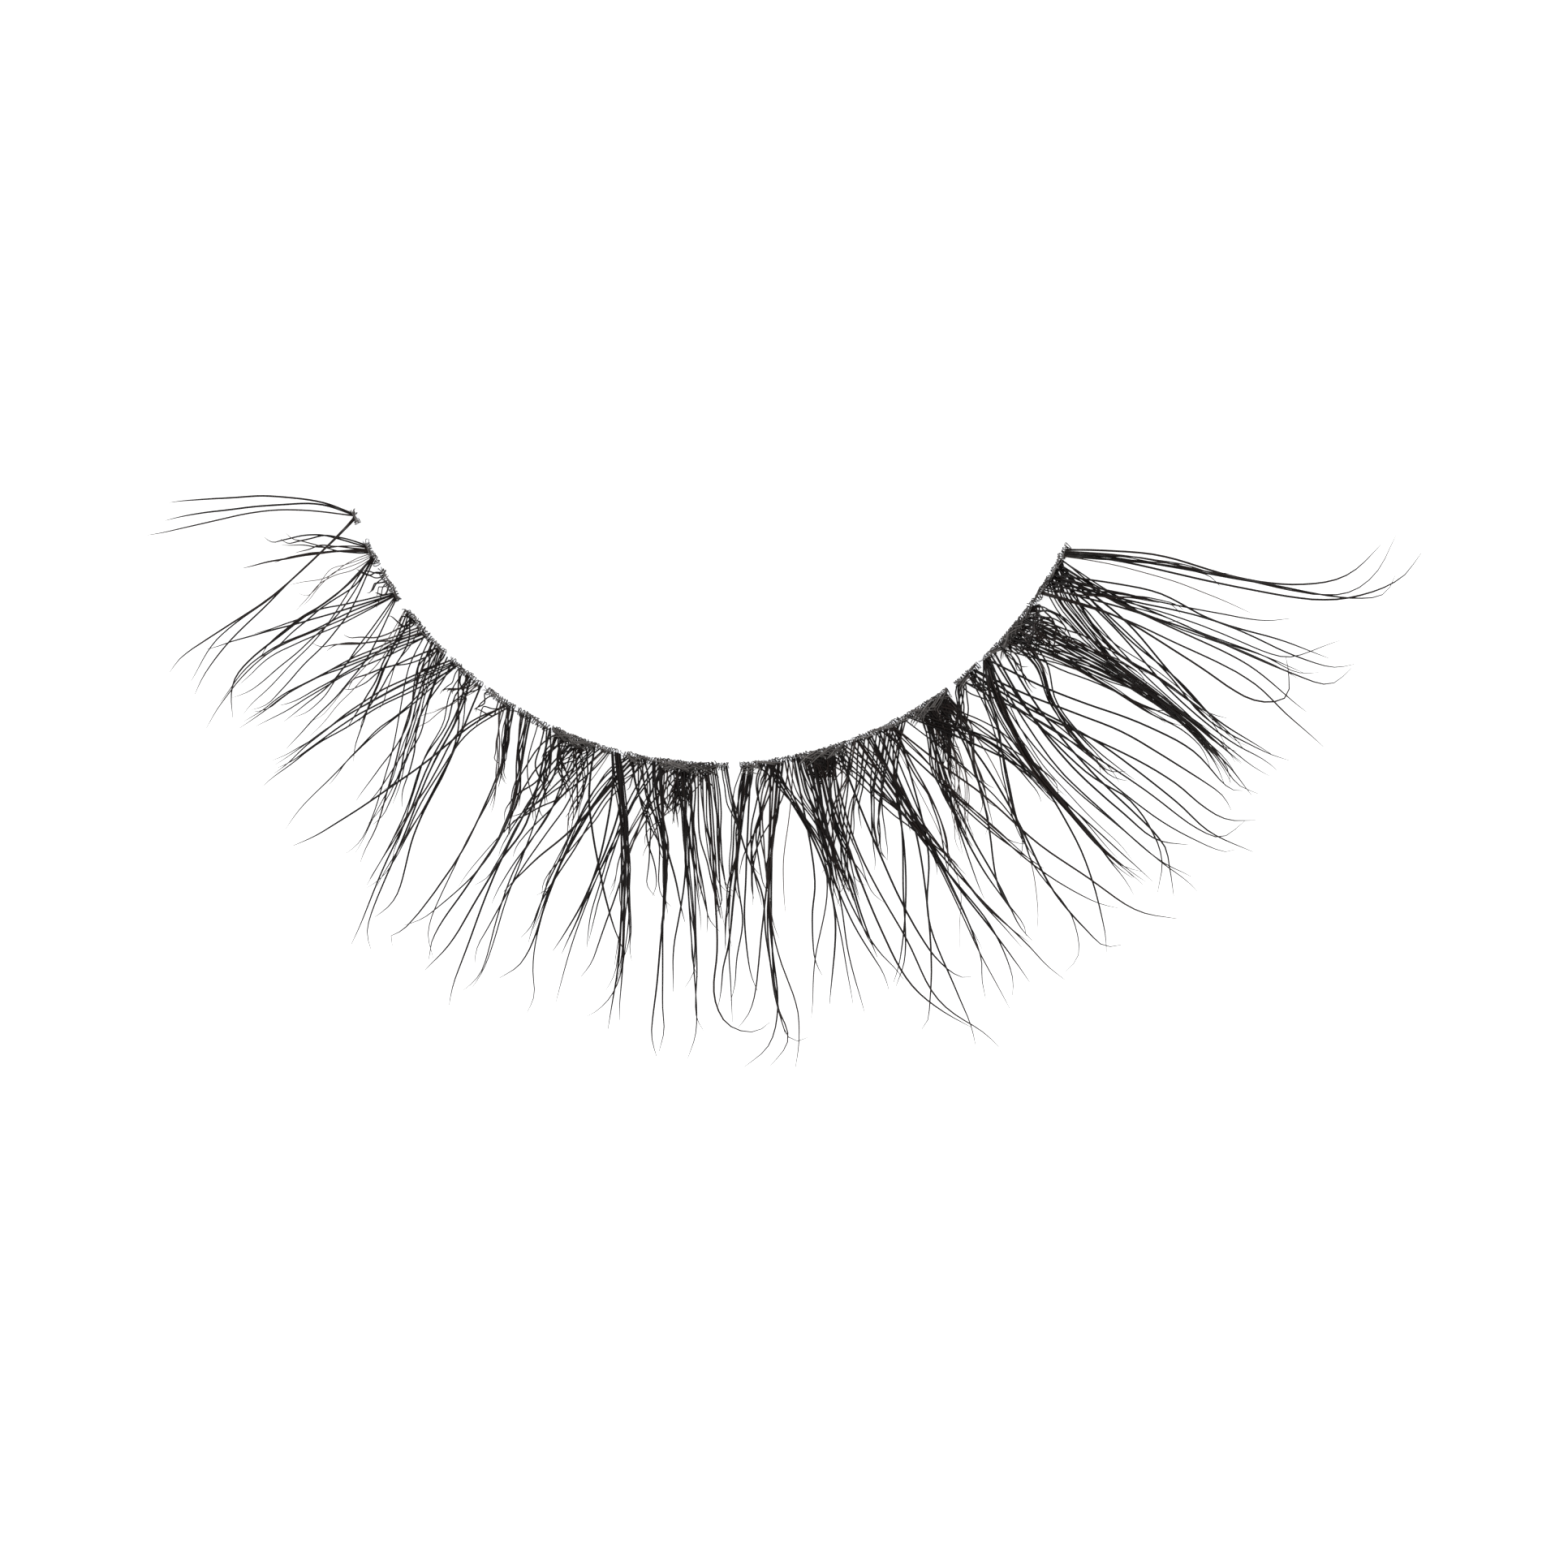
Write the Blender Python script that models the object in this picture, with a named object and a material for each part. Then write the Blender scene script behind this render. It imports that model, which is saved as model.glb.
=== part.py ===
"""A wispy false eyelash strip, lying on its own band.

One clear nylon line, bent in a single arc, carries seven runs of knotted lashes. Each run is one solid:
a row of knots that sits over the line like a saddle, and the locks that leave it to both sides,
crossing each other, flat on the surface at first and then curling up to fine tips.

Seen from above, the inner corner's end lies to the left (-X) and the lashes fan out downwards (-Y).
Places along the band are in percent of its length, from the inner end. Reaches are how far a point lies
outside the band's middle line, in percent of the longest lash.
"""

import math
from collections import namedtuple

import bmesh
import bpy
from mathutils import Vector

MM = 0.001
PERCENT = 0.01

# The band: one clear line, flat underneath
BAND_LENGTH = 34.0 * MM
BAND_SWEEP = math.radians(133.6)
BAND_START = math.radians(200.4)  # direction of the inner end, seen from the arc's centre
BAND_WIDTH = 0.25 * MM
BAND_HEIGHT = 0.20 * MM
BAND_SHOULDER = 0.06 * MM  # slope along both upper edges

# The knots over the band
KNOT_CLEARANCE = 0.04 * MM
KNOT_WALL = 0.08 * MM
KNOT_SHOULDER = 0.07 * MM
KNOT_FOOT_GAP = 0.01 * MM  # the band stands on the surface, and the knots' feet just above it

# The lashes
LONGEST_LASH = 12.5 * MM
TIP_RISE = 4.5 * MM  # height of the longest lash's tip above its belly
BELLY_REACH = 3.0 * MM  # a lash lies flat as far out as this, then curls up
SETTLE_REACH = 0.50 * MM  # outside the knots, where a lock has come down or up to its own layer
ROOT_THICKNESS = 0.13 * MM
TIP_THICKNESS = 0.06 * MM
TIP_WIDTH = 0.10 * MM
LEAN_CLEARANCE = 0.03 * MM  # between the locks of one run that lean one way and the other
LAYER_CLEARANCE = 0.08 * MM  # between crossing locks of two runs
STAGGER = 0.02 * MM  # locks that lean the same way lie a little over each other
STAGGER_COUNT = 3

ROOT_SHARE = 0.4  # share of its curve in which a lock narrows from its roots and turns square to its path

# Fineness of the solids
ARC_STEP = math.radians(4.0)
SHORT_LOCK_RINGS = 4
LONG_LOCK_RINGS = 6
LONG_LOCK_REACH = 50  # percent
WIDE_LOCK_WAIST = 0.8  # percent: from this on a lock has a flat top and underside, not one ridge
SHARP_EDGE = math.radians(40)
SMALL_SHARE = 0.01  # step along a curve, to find its direction

BAND_RADIUS = BAND_LENGTH / BAND_SWEEP
KNOT_INNER = BAND_WIDTH / 2 + KNOT_CLEARANCE
KNOT_OUTER = KNOT_INNER + KNOT_WALL
KNOT_CEILING = BAND_HEIGHT + KNOT_CLEARANCE
KNOT_TOP = KNOT_CEILING + KNOT_WALL
LEAN_STEP = ROOT_THICKNESS + STAGGER * (STAGGER_COUNT - 1) + LEAN_CLEARANCE
LAYER_STEP = LEAN_STEP + ROOT_THICKNESS + STAGGER * (STAGGER_COUNT - 1) + LAYER_CLEARANCE

# One lock: where it leaves the knots, where it is at its waist and how wide, and where it ends
Lock = namedtuple("Lock", "root_from root_to waist_at waist_reach waist_wide tip_at tip_reach")

INNER_CORNER_LOCKS = (
    Lock(0.0, 0.4, -3.9, 24, 0.7, -5.6, 52),
    Lock(0.2, 0.5, -3.0, 30, 0.6, -3.8, 60),
    Lock(0.4, 0.8, 4.2, 32, 0.7, 5.8, 69),
    Lock(0.3, 0.6, 4.9, 36, 0.6, 7.8, 67),
)

INNER_SIDE_LOCKS = (
    Lock(3.8, 4.6, 1.2, 15, 0.8, -0.3, 30),
    Lock(4.4, 4.8, 2.0, 22, 0.4, 1.0, 37),
    Lock(4.9, 5.4, 5.1, 18, 0.6, 5.4, 36),
    Lock(5.2, 5.8, 9.3, 31, 0.6, 11.6, 74),
    Lock(5.1, 5.6, 7.3, 29, 0.5, 8.1, 65),
    Lock(5.3, 5.8, 7.6, 34, 0.4, 10.8, 61),
    Lock(7.2, 7.9, 7.1, 5, 0.5, 6.9, 8),
    Lock(8.3, 9.1, 8.8, 5, 0.6, 8.7, 9),
)

INNER_LOCKS = (
    Lock(9.8, 10.3, 7.3, 28, 0.6, 5.2, 58),
    Lock(10.0, 10.5, 8.6, 34, 0.5, 10.9, 71),
    Lock(10.2, 10.7, 13.5, 30, 0.6, 14.7, 61),
    Lock(12.0, 12.5, 14.9, 24, 0.4, 16.2, 47),
    Lock(12.4, 13.1, 16.6, 22, 0.9, 18.8, 49),
    Lock(13.2, 14.0, 13.2, 5, 0.8, 12.5, 9),
    Lock(14.1, 14.9, 11.8, 16, 0.7, 10.1, 31),
    Lock(15.0, 16.2, 13.6, 34, 1.3, 12.4, 78),
    Lock(17.5, 18.1, 14.9, 22, 0.5, 13.1, 44),
    Lock(15.5, 18.0, 20.8, 32, 1.2, 23.7, 67),
    Lock(19.6, 20.6, 16.9, 32, 0.9, 15.7, 70),
    Lock(20.3, 20.8, 19.1, 36, 0.4, 20.0, 70),
    Lock(21.4, 23.6, 23.0, 8, 1.5, 22.7, 15),
    Lock(20.5, 22.6, 24.6, 34, 1.2, 27.6, 86),
    Lock(22.5, 23.2, 25.0, 34, 0.6, 28.8, 84),
    Lock(23.5, 24.0, 26.4, 38, 0.5, 28.2, 75),
)

MIDDLE_LOCKS = (
    Lock(24.7, 27.2, 24.8, 6, 1.4, 23.7, 13),
    Lock(27.2, 27.7, 24.0, 36, 0.4, 20.5, 73),
    Lock(27.5, 28.2, 25.5, 34, 0.8, 27.5, 72),
    Lock(26.0, 27.0, 29.4, 16, 0.6, 31.5, 32),
    Lock(27.6, 28.2, 30.6, 40, 0.4, 30.0, 79),
    Lock(27.9, 28.5, 30.9, 42, 0.4, 32.7, 78),
    Lock(29.0, 30.5, 32.2, 22, 0.9, 33.4, 46),
    Lock(30.0, 30.6, 33.0, 38, 0.5, 30.3, 74),
    Lock(31.5, 33.0, 34.1, 19, 1.0, 35.0, 37),
    Lock(32.7, 33.3, 34.1, 40, 0.4, 32.5, 82),
    Lock(33.8, 34.3, 34.1, 44, 0.4, 34.7, 88),
    Lock(33.6, 36.0, 32.7, 16, 1.4, 33.2, 37),
    Lock(36.2, 37.8, 35.8, 42, 1.0, 35.0, 87),
    Lock(35.0, 36.8, 36.8, 30, 0.8, 38.0, 60),
    Lock(41.2, 43.4, 39.0, 32, 1.1, 37.3, 75),
    Lock(39.0, 40.4, 34.6, 22, 0.7, 33.7, 46),
    Lock(42.0, 42.5, 38.9, 40, 0.4, 39.7, 82),
    Lock(38.1, 38.6, 41.2, 28, 0.4, 45.1, 58),
    Lock(36.6, 38.4, 38.1, 21, 0.8, 39.6, 45),
    Lock(40.3, 41.4, 44.1, 33, 0.9, 45.2, 74),
    Lock(40.8, 41.2, 45.0, 46, 0.4, 43.5, 79),
    Lock(45.6, 47.4, 43.9, 30, 1.1, 45.3, 69),
    Lock(42.6, 44.0, 44.4, 20, 0.7, 46.0, 44),
    Lock(44.6, 46.4, 47.3, 27, 0.8, 48.1, 50),
    Lock(44.8, 45.4, 47.8, 44, 0.4, 48.0, 88),
    Lock(43.8, 44.3, 42.0, 38, 0.4, 41.2, 77),
    Lock(47.0, 49.0, 49.3, 34, 1.3, 50.7, 73),
    Lock(48.2, 48.7, 50.0, 44, 0.4, 50.6, 88),
    Lock(49.4, 50.4, 49.9, 24, 0.8, 51.1, 48),
    Lock(50.7, 51.3, 51.7, 40, 0.4, 53.4, 79),
    Lock(51.7, 52.3, 52.5, 30, 0.8, 52.3, 57),
    Lock(52.3, 52.9, 54.2, 22, 0.5, 55.7, 45),
)

OUTER_MIDDLE_LOCKS = (
    Lock(54.9, 56.0, 53.8, 28, 1.0, 53.0, 75),
    Lock(55.3, 55.8, 54.1, 36, 0.5, 54.6, 68),
    Lock(56.4, 58.4, 55.1, 20, 1.0, 54.7, 40),
    Lock(57.6, 60.4, 56.9, 20, 1.4, 56.4, 39),
    Lock(58.6, 59.2, 56.0, 44, 0.5, 53.6, 82),
    Lock(59.2, 59.8, 56.2, 46, 0.6, 57.0, 91),
    Lock(57.0, 58.6, 60.8, 26, 1.1, 62.2, 49),
    Lock(58.2, 58.8, 61.0, 36, 0.5, 59.0, 77),
    Lock(57.6, 58.2, 61.4, 40, 0.6, 61.5, 78),
    Lock(62.0, 64.5, 62.6, 23, 1.6, 61.7, 45),
    Lock(66.0, 68.8, 63.5, 30, 1.2, 62.8, 54),
    Lock(62.8, 63.3, 64.0, 42, 0.5, 67.9, 93),
    Lock(64.3, 64.8, 65.2, 46, 0.5, 69.4, 100),
    Lock(65.2, 65.8, 66.5, 40, 0.5, 69.2, 79),
    Lock(60.9, 61.4, 62.3, 40, 0.4, 64.4, 74),
    Lock(69.5, 70.0, 67.5, 40, 0.4, 64.3, 74),
    Lock(69.1, 70.8, 66.8, 22, 0.9, 65.6, 41),
    Lock(65.6, 68.4, 69.6, 26, 1.1, 71.7, 52),
    Lock(68.0, 68.6, 71.2, 46, 0.5, 74.5, 92),
    Lock(69.4, 71.0, 70.3, 38, 0.7, 70.4, 90),
    Lock(70.3, 70.8, 68.6, 44, 0.5, 65.2, 87),
    Lock(70.0, 70.5, 69.0, 46, 0.5, 68.2, 97),
    Lock(75.0, 77.0, 73.9, 20, 1.0, 73.9, 38),
    Lock(77.2, 78.8, 76.6, 21, 1.0, 75.4, 41),
    Lock(74.0, 77.4, 79.5, 20, 1.3, 81.4, 42),
    Lock(70.6, 73.0, 73.9, 17, 0.8, 74.7, 33),
    Lock(71.8, 72.4, 75.4, 40, 0.4, 79.6, 83),
    Lock(73.0, 73.6, 77.0, 44, 0.4, 82.3, 96),
    Lock(74.6, 75.2, 73.9, 38, 0.5, 73.6, 77),
    Lock(78.0, 78.6, 77.0, 46, 0.5, 75.9, 88),
    Lock(76.6, 77.2, 77.1, 48, 0.4, 78.5, 92),
)

OUTER_SIDE_LOCKS = (
    Lock(80.6, 81.6, 79.0, 12, 0.7, 77.4, 22),
    Lock(81.4, 83.1, 84.0, 18, 0.9, 85.6, 36),
)

OUTER_CORNER_LOCKS = (
    Lock(84.4, 85.6, 81.4, 38, 1.2, 82.1, 84),
    Lock(84.5, 85.0, 89.4, 46, 0.5, 90.2, 84),
    Lock(85.3, 85.8, 86.9, 48, 0.4, 88.3, 97),
    Lock(86.0, 86.4, 86.6, 52, 0.4, 89.3, 91),
    Lock(86.6, 87.0, 85.2, 46, 0.4, 82.4, 87),
    Lock(85.9, 86.3, 83.1, 46, 0.4, 84.8, 92),
    Lock(88.0, 89.8, 86.4, 28, 1.1, 86.2, 56),
    Lock(86.8, 88.2, 91.1, 20, 0.9, 92.7, 41),
    Lock(89.0, 90.6, 92.0, 38, 1.1, 91.0, 80),
    Lock(90.8, 92.4, 92.9, 40, 1.1, 91.8, 84),
    Lock(95.1, 97.3, 93.0, 36, 1.1, 92.2, 86),
    Lock(96.7, 97.2, 94.6, 46, 0.5, 93.9, 90),
    Lock(93.4, 94.6, 97.0, 20, 0.9, 97.8, 38),
    Lock(94.8, 95.2, 99.6, 46, 0.5, 101.0, 86),
    Lock(95.9, 96.3, 99.9, 54, 0.4, 101.1, 93),
    Lock(95.3, 95.7, 98.6, 52, 0.4, 100.7, 97),
    Lock(97.2, 97.6, 97.1, 46, 0.4, 96.0, 96),
    Lock(96.5, 96.9, 98.1, 44, 0.4, 97.4, 87),
    Lock(97.9, 98.4, 101.2, 42, 0.4, 102.4, 70),
    Lock(98.8, 99.3, 104.0, 48, 0.4, 108.7, 89),
    Lock(99.2, 99.7, 103.4, 56, 0.4, 109.0, 100),
    Lock(99.4, 99.9, 103.2, 54, 0.4, 106.8, 95),
)

# One run: its knots' stretch of the band, and the layer that its locks lie in, up from the surface
Run = namedtuple("Run", "name start end layer locks")

RUNS = (
    Run("inner_corner_tuft", 0.0, 0.8, 2, INNER_CORNER_LOCKS),
    Run("inner_side_tuft", 3.6, 9.3, 1, INNER_SIDE_LOCKS),
    Run("inner_fringe", 9.7, 24.1, 0, INNER_LOCKS),
    Run("middle_fringe", 24.6, 53.0, 1, MIDDLE_LOCKS),
    Run("outer_middle_fringe", 54.8, 79.0, 0, OUTER_MIDDLE_LOCKS),
    Run("outer_side_tuft", 80.5, 83.4, 1, OUTER_SIDE_LOCKS),
    Run("outer_corner_fringe", 84.3, 100.0, 2, OUTER_CORNER_LOCKS),
)


def blend(low, high, share):
    """The value that lies at this share of the way from low to high."""
    return low + (high - low) * share


def eased(share):
    """The share, held between 0 and 1, with a soft start and a soft end."""
    held = min(max(share, 0.0), 1.0)
    return held * held * (3 - 2 * held)


def on_band(place, out, height=0.0):
    """The point at this place along the band, so far outside its middle line and at this height."""
    angle = BAND_START + BAND_SWEEP * place * PERCENT
    radius = BAND_RADIUS + out
    return Vector((radius * math.cos(angle), radius * math.sin(angle), height))


def band_direction(place):
    """The direction in which the band runs at this place."""
    angle = BAND_START + BAND_SWEEP * place * PERCENT
    return Vector((-math.sin(angle), math.cos(angle), 0.0))


def solid_between(name, rings):
    """A closed mesh object through rings of as many points each, with its first and last ring capped."""
    shell = bmesh.new()
    loops = [[shell.verts.new(point) for point in ring] for ring in rings]
    for loop, following in zip(loops, loops[1:]):
        for index in range(len(loop)):
            beside = (index + 1) % len(loop)
            shell.faces.new((loop[index], loop[beside], following[beside], following[index]))
    shell.faces.new(loops[0])
    shell.faces.new(loops[-1])
    bmesh.ops.recalc_face_normals(shell, faces=shell.faces)
    mesh = bpy.data.meshes.new(name)
    shell.to_mesh(mesh)
    shell.free()
    mesh.shade_smooth()
    mesh.set_sharp_from_angle(angle=SHARP_EDGE)
    made = bpy.data.objects.new(name, mesh)
    bpy.context.scene.collection.objects.link(made)
    return made


def swept_along_band(name, section, start, end):
    """A solid with this section of (out, height) points, swept over a stretch of the band's arc."""
    sweep = BAND_SWEEP * (end - start) * PERCENT
    steps = max(2, round(sweep / ARC_STEP))
    places = [blend(start, end, step / steps) for step in range(steps + 1)]
    return solid_between(name, [[on_band(place, out, height) for out, height in section] for place in places])


def band():
    """The clear line that everything is knotted to."""
    half = BAND_WIDTH / 2
    upright = BAND_HEIGHT - BAND_SHOULDER
    section = (
        (-half, 0.0),
        (-half, upright),
        (-half + BAND_SHOULDER, BAND_HEIGHT),
        (half - BAND_SHOULDER, BAND_HEIGHT),
        (half, upright),
        (half, 0.0),
    )
    return swept_along_band("band", section, 0, 100)


def knot_row(run):
    """The saddle of knots that sits over the band along one run."""
    upright = KNOT_TOP - KNOT_SHOULDER
    section = (
        (-KNOT_OUTER, KNOT_FOOT_GAP),
        (-KNOT_OUTER, upright),
        (-KNOT_OUTER + KNOT_SHOULDER, KNOT_TOP),
        (KNOT_OUTER - KNOT_SHOULDER, KNOT_TOP),
        (KNOT_OUTER, upright),
        (KNOT_OUTER, KNOT_FOOT_GAP),
        (KNOT_INNER, KNOT_FOOT_GAP),
        (KNOT_INNER, KNOT_CEILING),
        (-KNOT_INNER, KNOT_CEILING),
        (-KNOT_INNER, KNOT_FOOT_GAP),
    )
    return swept_along_band(run.name, section, run.start, run.end)


def through_waist(root, waist, tip, share):
    """A number on the curve that starts at root, passes waist halfway and ends at tip."""
    pull = 2 * waist - (root + tip) / 2
    return blend(blend(root, pull, share), blend(pull, tip, share), share)


def lash_height(out, thickness, root, belly):
    """The height of a lock's middle: from its root to its own level, flat, and then curling up."""
    settled = belly + thickness / 2
    from_knots = blend(root, settled, eased((out - KNOT_OUTER) / SETTLE_REACH))
    curl = max(0.0, out - BELLY_REACH) / (LONGEST_LASH - BELLY_REACH)
    return from_knots + TIP_RISE * curl * curl


def lock_levels(lock, layer, index):
    """The height of a lock's root, and of its underside: its run's layer, its lean and its turn."""
    leans_outwards = lock.tip_at > (lock.root_from + lock.root_to) / 2
    turn = index % STAGGER_COUNT * STAGGER
    root = KNOT_TOP / 2 + turn - (STAGGER / 2 if leans_outwards else STAGGER)
    belly = KNOT_FOOT_GAP + layer * LAYER_STEP + turn + (LEAN_STEP if leans_outwards else 0.0)
    return root, belly


def lock_rings(lock, root, belly):
    """The rings of one flat, tapering lock, from inside the knots' wall out to its tip."""
    root_at = (lock.root_from + lock.root_to) / 2
    root_out = KNOT_OUTER - KNOT_WALL / 2
    waist_out = lock.waist_reach * PERCENT * LONGEST_LASH
    tip_out = lock.tip_reach * PERCENT * LONGEST_LASH
    root_width = (lock.root_to - lock.root_from) * PERCENT * BAND_LENGTH
    waist_width = lock.waist_wide * PERCENT * BAND_LENGTH
    count = LONG_LOCK_RINGS if lock.tip_reach > LONG_LOCK_REACH else SHORT_LOCK_RINGS

    def place_and_out(share):
        place = through_waist(root_at, lock.waist_at, lock.tip_at, share)
        return place, through_waist(root_out, waist_out, tip_out, share)

    rings = []
    for index in range(count):
        share = index / (count - 1)
        place, out = place_and_out(share)
        ahead = on_band(*place_and_out(share + SMALL_SHARE)) - on_band(*place_and_out(share - SMALL_SHARE))
        square = Vector((-ahead.y, ahead.x, 0.0)).normalized()
        along = band_direction(place)
        if square.dot(along) < 0:
            square = -square
        side = along.lerp(square, eased(share / ROOT_SHARE)).normalized()
        if share < 0.5:
            width = blend(root_width, waist_width, eased(share / ROOT_SHARE))
        else:
            width = blend(waist_width, TIP_WIDTH, share * 2 - 1)
        thickness = blend(ROOT_THICKNESS, TIP_THICKNESS, share)
        middle = on_band(place, out, lash_height(out, thickness, root, belly))
        edge = side * width / 2
        up = Vector((0.0, 0.0, thickness / 2))
        if lock.waist_wide < WIDE_LOCK_WAIST:
            rings.append((middle - edge, middle - up, middle + edge, middle + up))
            continue
        underside = (middle - edge / 2 - up, middle + edge / 2 - up)
        top = (middle + edge / 2 + up, middle - edge / 2 + up)
        rings.append((middle - edge, *underside, middle + edge, *top))
    return rings


def lash_run(run):
    """One run: its knots, and its locks fused to them."""
    knots = knot_row(run)
    helpers = bpy.data.collections.new(run.name + "_locks")
    bpy.context.scene.collection.children.link(helpers)
    for index, lock in enumerate(run.locks):
        rings = lock_rings(lock, *lock_levels(lock, run.layer, index))
        made = solid_between(f"{run.name}_lock_{index + 1}", rings)
        bpy.context.scene.collection.objects.unlink(made)
        helpers.objects.link(made)
        made.hide_render = True
        made.display_type = "WIRE"
    fuse = knots.modifiers.new("fuse locks", "BOOLEAN")
    fuse.operation = "UNION"
    fuse.solver = "EXACT"
    fuse.operand_type = "COLLECTION"
    fuse.collection = helpers
    return knots, list(helpers.objects)


def plain_material(name, colour, roughness, alpha=1.0):
    """A material with one colour and one roughness."""
    material = bpy.data.materials.new(name)
    material.use_nodes = True
    shader = material.node_tree.nodes["Principled BSDF"]
    shader.inputs["Base Color"].default_value = (*colour, 1.0)
    shader.inputs["Roughness"].default_value = roughness
    shader.inputs["Metallic"].default_value = 0.0
    shader.inputs["Alpha"].default_value = alpha
    return material


def stand_on_origin(objects):
    """Hangs the objects on one empty that puts their box's bottom centre on the world's origin."""
    corners = [vertex.co for made in objects for vertex in made.data.vertices]
    low = Vector(map(min, *corners))
    high = Vector(map(max, *corners))
    holder = bpy.data.objects.new("lash_strip", None)
    bpy.context.scene.collection.objects.link(holder)
    holder.location = (-(low.x + high.x) / 2, -(low.y + high.y) / 2, -low.z)
    for made in objects:
        made.parent = holder


def main():
    """Clears the scene and builds the strip."""
    for left_over in list(bpy.data.objects):
        bpy.data.objects.remove(left_over)
    fibre = plain_material("lash fibre", (0.012, 0.009, 0.008), 0.38)
    nylon = plain_material("clear nylon", (0.92, 0.93, 0.94), 0.12, alpha=0.35)
    line = band()
    line.data.materials.append(nylon)
    objects = [line]
    for run in RUNS:
        knots, locks = lash_run(run)
        for made in [knots, *locks]:
            made.data.materials.append(fibre)
            objects.append(made)
    stand_on_origin(objects)


main()
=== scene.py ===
"""Dresses the false eyelash strip: tapering fibres, knots wound over a clear line, and the studio.

Places along the band are in percent of its length, from the inner corner's end. Reaches are in millimetres
outside the band's middle line. Both are as the lashes lie, seen from straight above.
"""

from __future__ import annotations

import logging
import math
import random
from dataclasses import dataclass
from enum import Enum
from typing import Any, Sequence

import bpy
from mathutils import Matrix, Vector

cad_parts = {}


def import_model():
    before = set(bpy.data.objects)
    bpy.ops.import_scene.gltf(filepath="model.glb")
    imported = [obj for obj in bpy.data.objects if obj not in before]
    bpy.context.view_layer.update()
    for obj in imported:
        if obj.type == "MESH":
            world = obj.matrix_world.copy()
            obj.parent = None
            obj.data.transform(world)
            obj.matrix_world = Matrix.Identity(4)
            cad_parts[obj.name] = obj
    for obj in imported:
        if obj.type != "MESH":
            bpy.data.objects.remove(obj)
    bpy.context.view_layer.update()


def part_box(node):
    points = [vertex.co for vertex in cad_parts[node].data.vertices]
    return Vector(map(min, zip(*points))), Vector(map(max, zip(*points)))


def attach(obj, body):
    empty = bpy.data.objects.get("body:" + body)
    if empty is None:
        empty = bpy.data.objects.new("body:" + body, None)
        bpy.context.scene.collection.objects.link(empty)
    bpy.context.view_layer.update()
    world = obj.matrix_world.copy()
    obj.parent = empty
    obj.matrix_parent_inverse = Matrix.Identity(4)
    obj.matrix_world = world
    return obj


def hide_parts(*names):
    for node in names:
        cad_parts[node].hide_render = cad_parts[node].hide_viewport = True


LOG = logging.getLogger("lash_strip")
MM = 0.001
PERCENT = 0.01
WHOLE = 100.0  # percent
NEARLY_NOTHING = 0.05  # length of a mean of two directions, below which they are as good as opposite
WHITE = (1.0, 1.0, 1.0, 1.0)

# Half the width of a loose bundle, in millimetres
CROWD_WIDTH = 0.09  # times the square root of its number of fibres
ROOTS_WIDTH = 0.17  # for each percent of the band under its roots
WAIST_SHARE = 0.75  # of the roots' width
TIP_SHARE = 0.2
TIP_FANNING = 2.0

Colour = tuple[float, float, float, float]
Box = tuple[Vector, Vector]
Waypoint = tuple[float, float]
Station = tuple[float, float, float]
Span = tuple[float, float]


def mix(low: float, high: float, share: float) -> float:
    """Returns the value at a share of the way from low to high."""
    return low + (high - low) * share


def eased(share: float) -> float:
    """Returns a share, held between 0 and 1, with a soft start and end."""
    share = min(max(share, 0.0), 1.0)
    return share * share * (3.0 - 2.0 * share)


def linked(name: str, data: Any) -> bpy.types.Object:
    """Returns a new object with the given data, linked to the scene."""
    made = bpy.data.objects.new(name, data)
    bpy.context.scene.collection.objects.link(made)
    return made


class Tone(Enum):
    """How light a fibre is, and how thick it is against the others. The lightness of brown and grey fibres is
    painted highlight; faint ones are pale as thin fibres look.
    """

    DARK = (0.0, 1.0)
    # BROWN and GREY: lighter colour here is painted highlight, for fibres that glint in their bundle
    BROWN = (0.35, 0.92)
    GREY = (0.75, 0.85)
    FAINT = (0.85, 0.60)

    @property
    def lightness(self) -> float:
        """Returns the lightness, 0 for near black and 1 for the palest."""
        return self.value[0]

    @property
    def girth(self) -> float:
        """Returns the thickness as a share of a full fibre."""
        return self.value[1]


@dataclass(frozen=True)
class Tuft:
    """One bundle of fibres with a common path, or a single fibre.

    Args:
        roots: first and last place of its roots on the band, in percent.
        path: places that it passes, each as percent along the band and millimetres outside it.
        widths: half of its width at each of those places, in millimetres.
        hairs: number of fibres.
        tone: lightness and thickness.
        shortest: length of its shortest fibre, as a share of the longest.
    """

    roots: tuple[float, float]
    path: tuple[Waypoint, ...]
    widths: tuple[float, ...]
    hairs: int = 1
    tone: Tone = Tone.DARK
    shortest: float = 1.0


def tuft(
    first: float,
    last: float,
    *path: Waypoint,
    hairs: int,
    tone: Tone = Tone.DARK,
    shortest: float = 0.6,
) -> Tuft:
    """Returns a loose bundle, whose widths follow from its roots and its number of fibres."""
    crowd = CROWD_WIDTH * hairs**0.5
    roots = (last - first) * ROOTS_WIDTH
    waist = WAIST_SHARE * roots + crowd
    tips = TIP_SHARE * roots + TIP_FANNING * crowd
    span = path[-1][1] - path[0][1]
    widths = tuple(mix(waist, tips, (reach - path[0][1]) / span if span else 1.0) for _, reach in path)
    return Tuft((first, last), path, widths, hairs, tone, shortest)


def fan(
    first: float,
    last: float,
    *stations: Station,
    hairs: int,
    tone: Tone = Tone.DARK,
    shortest: float = 0.65,
) -> Tuft:
    """Returns an even bundle, with half of its width given at each place that it passes."""
    path = tuple((place, reach) for place, reach, _ in stations)
    return Tuft((first, last), path, tuple(half for _, _, half in stations), hairs, tone, shortest)


def hair(root: float, *path: Waypoint, tone: Tone = Tone.DARK) -> Tuft:
    """Returns a single fibre."""
    return Tuft((root, root), path, (0.0,) * len(path), 1, tone)


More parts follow.
